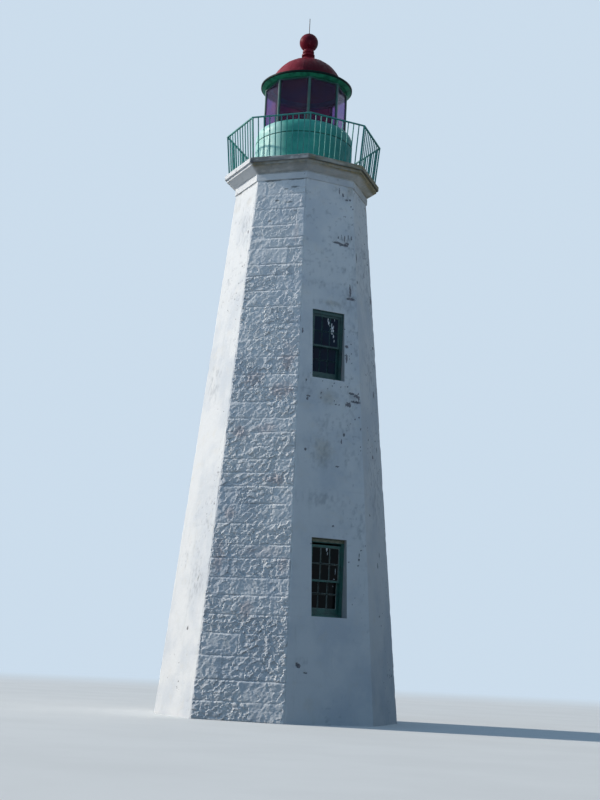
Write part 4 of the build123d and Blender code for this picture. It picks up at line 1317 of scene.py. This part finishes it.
def dome_seams():
    """Raised laps between the dome's sheets, with rivets along them."""
    low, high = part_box("roof_dome")
    foot, rise = high.x, high.z - low.z
    radius = (foot * foot + rise * rise) / (2 * rise)
    centre = high.z - radius
    start = math.asin((low.z + SEAM_START - centre) / radius)
    end = math.acos((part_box("vent_collar")[1].x - SEAM_OVERLAP) / radius)
    climb = [start + (end - start) * step / SEAM_STEPS for step in range(SEAM_STEPS + 1)]
    parts = Parts()
    for number in range(SEAMS):
        turn = math.tau * (number + 0.5) / SEAMS
        c, s = math.cos(turn), math.sin(turn)
        rings = []
        for rising in climb:
            ring = []
            for across, proud in SEAM_OUTLINE:
                from_axis = (radius + proud) * math.cos(rising)
                level = centre + (radius + proud) * math.sin(rising)
                ring.append((from_axis * c - across * s, from_axis * s + across * c, level))
            rings.append(ring)
        parts.tube(rings)
        for rising in climb[1:-1]:
            out = Vector((math.cos(rising) * c, math.cos(rising) * s, math.sin(rising)))
            place = out * (radius + 0.0025) + Vector((0, 0, centre))
            parts.knob(place, out, head(0.0055, 0.003), 6)
    parts.make("dome_seams", ROOF_PAINT, "roof_paint")


def dome_foot_band():
    """A band round the dome's foot, with rivets."""
    low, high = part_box("roof_dome")
    foot = high.x
    outline = [(foot - 0.004, low.z), (foot + 0.012, low.z)]
    outline += [(foot + 0.010, low.z + 0.028), (foot - 0.012, low.z + BAND_HEIGHT)]
    angles = [math.tau * i / BAND_COLUMNS for i in range(BAND_COLUMNS)]
    rings = [[(r * math.cos(a), r * math.sin(a), z) for r, z in outline] for a in angles]
    parts = Parts()
    parts.tube(rings, closed=True)
    for number in range(BAND_RIVETS):
        angle = math.tau * (number + 0.25) / BAND_RIVETS
        out = Vector((math.cos(angle), math.sin(angle), 0))
        place = out * (foot + 0.010) + Vector((0, 0, low.z + 0.014))
        parts.knob(place, out, head(0.006, 0.004), 6)
    parts.make("dome_foot_band", ROOF_PAINT, "roof_paint")


def ball_band():
    """A narrow soldered band round the middle of the vent ball."""
    low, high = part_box("vent_ball")
    radius, middle = high.x, (low.z + high.z) / 2
    profile = [(radius - 0.006, middle - 0.011), (radius - 0.0005, middle - 0.009)]
    profile += [(radius, middle), (radius - 0.0005, middle + 0.009), (radius - 0.006, middle + 0.011)]
    lathe("ball_band", profile, BALL_BAND_COLUMNS, ROOF_PAINT)


railing_feet()
lantern_beads()
dome_seams()
dome_foot_band()
ball_band()


# Windows

FRAME_PAINTS = {
    "front_lower": WEATHERED_JOINERY,
    "front_upper": DARK_JOINERY,
    "back_upper": DARK_JOINERY,
}
BAR_HALF = 0.011
BAR_DEPTH = 0.040
BAR_NOSE = 0.004
BAR_OUTLINE = [
    (-BAR_HALF, 0.0), (-BAR_HALF, -BAR_DEPTH * 0.45), (-BAR_NOSE, -BAR_DEPTH),
    (BAR_NOSE, -BAR_DEPTH), (BAR_HALF, -BAR_DEPTH * 0.45), (BAR_HALF, 0.0),
]
BAR_END = 0.002
GLASS_HALF = 0.0026
SILL_NOSE = 0.034
SILL_HEIGHT = 0.040
PUTTY = [(-0.001, 0.0), (0.008, 0.0), (-0.001, -0.012)]
STAFF = [(0.0, 0.0), (0.0, -0.012), (0.006, -0.018), (0.016, -0.018), (0.022, -0.012), (0.022, 0.0)]
STOP = [(0.0, 0.0), (0.0, -0.012), (0.004, -0.016), (0.012, -0.016), (0.014, -0.010), (0.014, 0.0)]
PARTING = [(0.0, 0.0), (0.0, SASH_GAP - 0.002), (0.012, SASH_GAP - 0.002), (0.012, 0.0)]

# White marks on panes: window, across from its middle, height, half sizes
PANE_MARKS = [
    ("front_upper", 0.045, 9.50, 0.016, 0.07), ("front_upper", 0.065, 9.42, 0.024, 0.06),
    ("front_upper", 0.100, 9.36, 0.020, 0.03), ("front_upper", 0.150, 9.38, 0.018, 0.07),
    ("front_upper", 0.165, 9.31, 0.030, 0.05), ("front_upper", 0.200, 9.34, 0.012, 0.06),
    ("front_upper", 0.125, 9.28, 0.018, 0.03), ("front_upper", 0.150, 9.23, 0.016, 0.05),
    ("front_upper", 0.195, 9.24, 0.030, 0.05), ("front_upper", 0.170, 9.17, 0.034, 0.03),
    ("front_upper", 0.210, 9.11, 0.018, 0.06), ("front_upper", 0.230, 9.00, 0.012, 0.05),
    ("front_upper", 0.120, 9.53, 0.008, 0.05), ("front_upper", 0.225, 9.53, 0.009, 0.06),
    ("front_lower", 0.03, 3.94, 0.024, 0.08), ("front_lower", 0.05, 3.84, 0.010, 0.05),
    ("front_lower", 0.275, 3.44, 0.007, 0.12), ("front_lower", 0.25, 3.26, 0.030, 0.010),
    ("front_lower", 0.26, 3.10, 0.012, 0.02), ("back_upper", -0.12, 8.95, 0.014, 0.06),
]


def pane_mark(parts, x, z, half_width, half_height, plane, seed, side):
    """A thin white mark with a ragged outline, on a plane."""
    turns = np.linspace(0, math.tau, 14, endpoint=False)
    ragged = np.random.default_rng(seed).uniform(0.55, 1.0, len(turns))
    rings = []
    for scale, proud in ((1.0, 0.0), (0.9, 0.0012), (0.4, 0.0020)):
        ring = []
        for turn, share in zip(turns, ragged):
            across = half_width * share * scale * math.cos(turn)
            up = half_height * share * scale * math.sin(turn)
            ring.append((x + across, plane - proud, z + up))
        rings.append(ring)
    parts.tube(rings, side)


def glaze(bars, putty, across, up, plane, side):
    """Bars and putty for a sash's six panes; gives the plane of its glass."""
    (x0, x1), (z0, z1) = across, up
    back, glass = plane + SASH_THICKNESS - 0.004, plane + SASH_THICKNESS / 2 - GLASS_HALF
    cross = (z0 + z1) / 2
    uprights = [x0 + (x1 - x0) * share for share in (1 / 3, 2 / 3)]
    # The outline's second value points into the room when the bar runs to the right.
    bars.bar((x0 - BAR_END, back, cross), (x1 + BAR_END, back, cross), BAR_OUTLINE, (0, 0, 1), side)
    ends = [(z0 - BAR_END, cross - BAR_HALF + 0.001), (cross + BAR_HALF - 0.001, z1 + BAR_END)]
    for x in uprights:
        for start, end in ends:
            bars.bar((x, back, start), (x, back, end), BAR_OUTLINE, (-1, 0, 0), side)
    columns, rows = [x0, *uprights, x1], [z0, cross, z1]
    lap = BAR_HALF - BAR_END
    for a, b in zip(columns, columns[1:]):
        for c, d in zip(rows, rows[1:]):
            pane_across = a + (a != x0) * lap, b - (b != x1) * lap
            pane_up = c + (c != z0) * lap, d - (d != z1) * lap
            putty.picture_frame(pane_across, pane_up, glass, PUTTY, side)
    return glass


def dress_window(name, paint):
    """Glazing bars, putty, white marks and mouldings for one window."""
    behind = name.startswith("back")
    side = "back" if behind else "front"
    (left, right), (face, _), (bottom, top) = front_box(f"{name}_frame", behind)
    inner_left, inner_right = left + FRAME_JAMB, right - FRAME_JAMB
    day_low, day_high = bottom + FRAME_SILL, top - FRAME_HEAD
    middle = (day_low + day_high) / 2
    outer_plane = face + SASH_SETBACK
    inner_plane = outer_plane + SASH_THICKNESS + SASH_GAP
    overlap, drop = SASH_MEETING_RAIL / 2, SASH_DROPS[name]
    across = inner_left + SASH_STILE, inner_right - SASH_STILE
    sashes = [
        (outer_plane, (middle + overlap - drop, day_high - SASH_TOP_RAIL - drop)),
        (inner_plane, (day_low + SASH_BOTTOM_RAIL, middle - overlap)),
    ]
    bars, putty, white_marks, trim = Parts(), Parts(), Parts(), Parts()
    for plane, up in sashes:
        glass = glaze(bars, putty, across, up, plane, side)
        for number, (window, x, z, half_width, half_height) in enumerate(PANE_MARKS):
            if window == name and up[0] < z < up[1]:
                x = x + (left + right) / 2
                pane_mark(white_marks, x, z, half_width, half_height, glass + 0.0005, number, side)
    bar_material = PALE_BARS if name == "front_lower" else DIM_BARS
    bars.make(f"{name}_bars", bar_material, "joinery_paint")
    putty.make(f"{name}_putty", bar_material, "joinery_paint")
    white_marks.make(f"{name}_drips", PANE_MARK_PAINT, "whitewashed_stone")
    across, up = (left + 0.001, right - 0.001), (bottom + 0.001, top - 0.001)
    trim.picture_frame(across, up, face, STAFF, side)
    across, up = (inner_left - 0.001, inner_right + 0.001), (day_low - 0.001, day_high + 0.001)
    trim.picture_frame(across, up, outer_plane, STOP, side)
    trim.picture_frame(across, up, outer_plane + SASH_THICKNESS + 0.001, PARTING, side)
    across, up = (left + 0.002, right - 0.002), (bottom + 0.001, bottom + SILL_HEIGHT)
    trim.block(across, (face - SILL_NOSE, face), up, 0.010, side)
    trim.make(f"{name}_trim", paint, "joinery_paint")


for window, paint in FRAME_PAINTS.items():
    dress_window(window, paint)


# Doors

BOARDS = 6
BOARD_THICKNESS = 0.028
BOARD_GAP = 0.0006
BOARD_EASE = 0.005
LEDGE_END = 0.22
LEDGE_HALF = 0.07
LEDGE_INSET = 0.03
HINGE_END = 0.33
HINGE_BOLTS = (0.05, 0.51, 6)
STRAP_END = 0.14
STRAP_HALF = 0.02
STRAP_RUN = (0.24, -0.20, 12)
STRAP_RIVETS = (0.20, -0.16, 5)
STRAP_SUNK, STRAP_PROUD = -0.002, 0.006
PULL_ACROSS = -0.2
PULL_HALF = 0.07
PULL_PEG = [(0.012, 0.0), (0.012, 0.006), (0.007, 0.010), (0.007, 0.034)]
GRIP_RADIUS = 0.008
GRIP_REACH = 0.085


def door_boards():
    """The entrance's leaf: upright boards with eased edges on three ledges."""
    (left, right), (face, back), (low, high) = front_box("door_leaf", True)
    width = (right - left) / BOARDS
    parts = Parts()
    for number in range(BOARDS):
        start = left + number * width
        across = start + BOARD_GAP, start + width - BOARD_GAP
        parts.block(across, (face, face + BOARD_THICKNESS), (low, high), BOARD_EASE, "back")
    across = left + LEDGE_INSET, right - LEDGE_INSET
    for level in (low + LEDGE_END, (low + high) / 2, high - LEDGE_END):
        up = level - LEDGE_HALF, level + LEDGE_HALF
        parts.block(across, (face + BOARD_THICKNESS, back), up, side="back")
    parts.make("door_boards", JOINERY, "joinery_paint", ["door_leaf"])
    bolts = Parts()
    start, end, count = HINGE_BOLTS
    for level in (low + HINGE_END, high - HINGE_END):
        for x in np.linspace(left + start, left + end, count):
            bolts.knob((x, face - 0.008, level), (0, -1, 0), head(0.010, 0.006), 10, "back")
    bolts.make("door_bolts", BARE_IRON, "bare_iron")


def gallery_door_fittings():
    """Strap hinges, a pull and rivets on the low iron door of the parapet."""
    low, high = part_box("gallery_door")
    parts = Parts()

    def on_door(x, z, proud):
        return Vector((x, math.sqrt((high.y + proud) ** 2 - x * x), z))

    def stud(x, z, proud, profile, segments):
        place = on_door(x, z, proud)
        parts.knob(place, (place.x, place.y, 0), profile, segments)

    corners = [(STRAP_SUNK, -STRAP_HALF), (STRAP_PROUD, -STRAP_HALF)]
    corners += [(STRAP_PROUD, STRAP_HALF), (STRAP_SUNK, STRAP_HALF)]
    for level in (low.z + STRAP_END, high.z - STRAP_END):
        rings = []
        for x in np.linspace(*STRAP_RUN):
            rings.append([tuple(on_door(x, level + up, proud)) for proud, up in corners])
        parts.tube(rings)
        for x in np.linspace(*STRAP_RIVETS):
            stud(x, level, 0.0055, head(0.009, 0.006), 8)
    middle = (low.z + high.z) / 2
    for level in (middle - PULL_HALF, middle + PULL_HALF):
        stud(PULL_ACROSS, level, -0.001, PULL_PEG, 10)
    grip, reach = on_door(PULL_ACROSS, middle, 0.029), Vector((0, 0, GRIP_REACH))
    turns = [math.tau * i / 10 for i in range(10)]
    outline = [(GRIP_RADIUS * math.cos(turn), GRIP_RADIUS * math.sin(turn)) for turn in turns]
    parts.bar(grip - reach, grip + reach, outline, (1, 0, 0))
    parts.make("gallery_door_fittings", BARE_IRON, "bare_iron")


door_boards()
gallery_door_fittings()


# Materials of the CAD nodes that stay

NODE_MATERIALS = [
    (BARE_STONE, ["ground_floor", "door_threshold"]),
    (RAILING_PAINT, ["railing_posts"] + [f"railing_{side}" for side in SIDES]),
    (LANTERN_PAINT, ["deck_hatch", "gallery_door"]),
    (LANTERN_PAINT, ["lantern_sill", "lantern_mullions", "lantern_head"]),
    (LANTERN_GLASS, ["lantern_glass"]),
    (EAVE_PAINT, ["roof_eave"]),
    (ROOF_PAINT, ["roof_dome", "vent_collar", "vent_ball"]),
    (BARE_IRON, ["lightning_rod", "door_hardware"]),
    (JOINERY, ["door_frame", "front_lower_sashes"]),
    (DARK_JOINERY, ["front_upper_sashes", "back_upper_sashes"]),
    (PANE_GLASS, [f"{window}_glass" for window in FRAME_PAINTS]),
]
NODE_MATERIALS += [(paint, [f"{window}_frame"]) for window, paint in FRAME_PAINTS.items()]
for material, nodes in NODE_MATERIALS:
    for node in nodes:
        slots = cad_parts[node].data.materials
        slots.clear()
        slots.append(material)


# Camera: solved on the edges of the tower, as a place round it, a height and three small turns

CAMERA_DISTANCE = 32.78
CAMERA_AZIMUTH = math.radians(-116.19)
CAMERA_HEIGHT = 1.30
CAMERA_YAW = math.radians(-0.37)
CAMERA_PITCH = math.radians(11.22)
CAMERA_ROLL = math.radians(2.71)
CAMERA_LENS = 59.9


def direction(azimuth, elevation):
    """A direction of length 1."""
    flat = math.cos(elevation)
    return Vector((math.cos(azimuth) * flat, math.sin(azimuth) * flat, math.sin(elevation)))


def add_camera():
    """The photograph's viewpoint."""
    flat_x = CAMERA_DISTANCE * math.cos(CAMERA_AZIMUTH)
    flat_y = CAMERA_DISTANCE * math.sin(CAMERA_AZIMUTH)
    place = Vector((flat_x, flat_y, CAMERA_HEIGHT))
    heading = math.atan2(-place.y, -place.x) + CAMERA_YAW
    forward = direction(heading, CAMERA_PITCH)
    level = Vector((math.sin(heading), -math.cos(heading), 0))
    upright = level.cross(forward)
    right = level * math.cos(CAMERA_ROLL) + upright * math.sin(CAMERA_ROLL)
    up = upright * math.cos(CAMERA_ROLL) - level * math.sin(CAMERA_ROLL)
    data = bpy.data.cameras.new("camera")
    data.lens = CAMERA_LENS
    data.clip_end = 1000
    camera = bpy.data.objects.new("camera", data)
    camera.matrix_world = Matrix.Translation(place) @ Matrix([right, up, -forward]).transposed().to_4x4()
    bpy.context.scene.collection.objects.link(camera)
    bpy.context.scene.camera = camera


# Light: a low sun from the left and behind, a blue sky, and a pale floor and backdrop

SUN_AZIMUTH = math.radians(140)
SUN_ELEVATION = math.radians(30)
SUN_STRENGTH = 3.4
SUN_ANGLE = math.radians(3)
SUN_COLOR = (1.0, 0.945, 0.865)
SUN_DISTANCE = 40
SKY_COLOR = (0.38, 0.65, 1.0)
SKY_STRENGTH = 0.36
SKY_SIDE = 0.6
BACKDROP_COLOR = (0.60, 0.72, 0.84)
FLOOR_SIZE = 400
FLOOR_SEEN = (0.72, 0.72, 0.70), (0.76, 0.76, 0.74)
FLOOR_LIT = (0.10, 0.10, 0.095)
FLOOR_FADE = (22.0, 60.0)


def add_sun():
    """The one lamp."""
    data = bpy.data.lights.new("sun", "SUN")
    data.energy = SUN_STRENGTH
    data.angle = SUN_ANGLE
    data.color = SUN_COLOR
    towards = direction(SUN_AZIMUTH, SUN_ELEVATION)
    lamp = bpy.data.objects.new("sun", data)
    lamp.rotation_mode = "QUATERNION"
    lamp.rotation_quaternion = towards.to_track_quat("Z", "Y")
    lamp.location = towards * SUN_DISTANCE
    bpy.context.scene.collection.objects.link(lamp)


def add_world():
    """Blue light that is stronger from the sun's side, and a plain backdrop that is seen."""
    world = bpy.data.worlds.new("sky")
    bpy.context.scene.world = world
    world.use_nodes = True
    world.node_tree.nodes.clear()
    w = Nodes(world.node_tree)
    sideways = w.split(w.add("ShaderNodeTexCoord").outputs["Generated"])["X"]
    strength = w.calculate("MULTIPLY_ADD", sideways, -SKY_SIDE * SKY_STRENGTH, SKY_STRENGTH)
    light = w.add("ShaderNodeBackground", {"Color": SKY_COLOR, "Strength": strength})
    backdrop = w.add("ShaderNodeBackground", {"Color": BACKDROP_COLOR})
    w.add("ShaderNodeOutputWorld", {"Surface": w.blend(w.seen(), light, backdrop)})


def add_floor():
    """A pale floor that fades into the backdrop far from the tower."""
    half = FLOOR_SIZE / 2
    corners = [(-half, -half, 0), (half, -half, 0), (half, half, 0), (-half, half, 0)]
    mesh = bpy.data.meshes.new("floor")
    mesh.from_pydata(corners, [], [(0, 1, 2, 3)])
    floor = bpy.data.objects.new("floor", mesh)
    bpy.context.scene.collection.objects.link(floor)
    f = Finish("pale_floor")
    mottled = f.over(*FLOOR_SEEN, f.noise(3.0, 4), 0.3, 0.7)
    f.done(f.mix(f.seen(), FLOOR_LIT, mottled), 0.9)
    away = f.between(f.vector("LENGTH", f.place)["Value"], *FLOOR_FADE)
    backdrop = f.add("ShaderNodeEmission", {"Color": BACKDROP_COLOR})
    surface = f.tree.nodes["Material Output"].inputs["Surface"]
    f.put(surface, f.blend(away, f.shader, backdrop))
    mesh.materials.append(f.material)


add_camera()
add_sun()
add_world()
add_floor()
bpy.context.scene.view_settings.view_transform = "Standard"

bpy.context.view_layer.update()
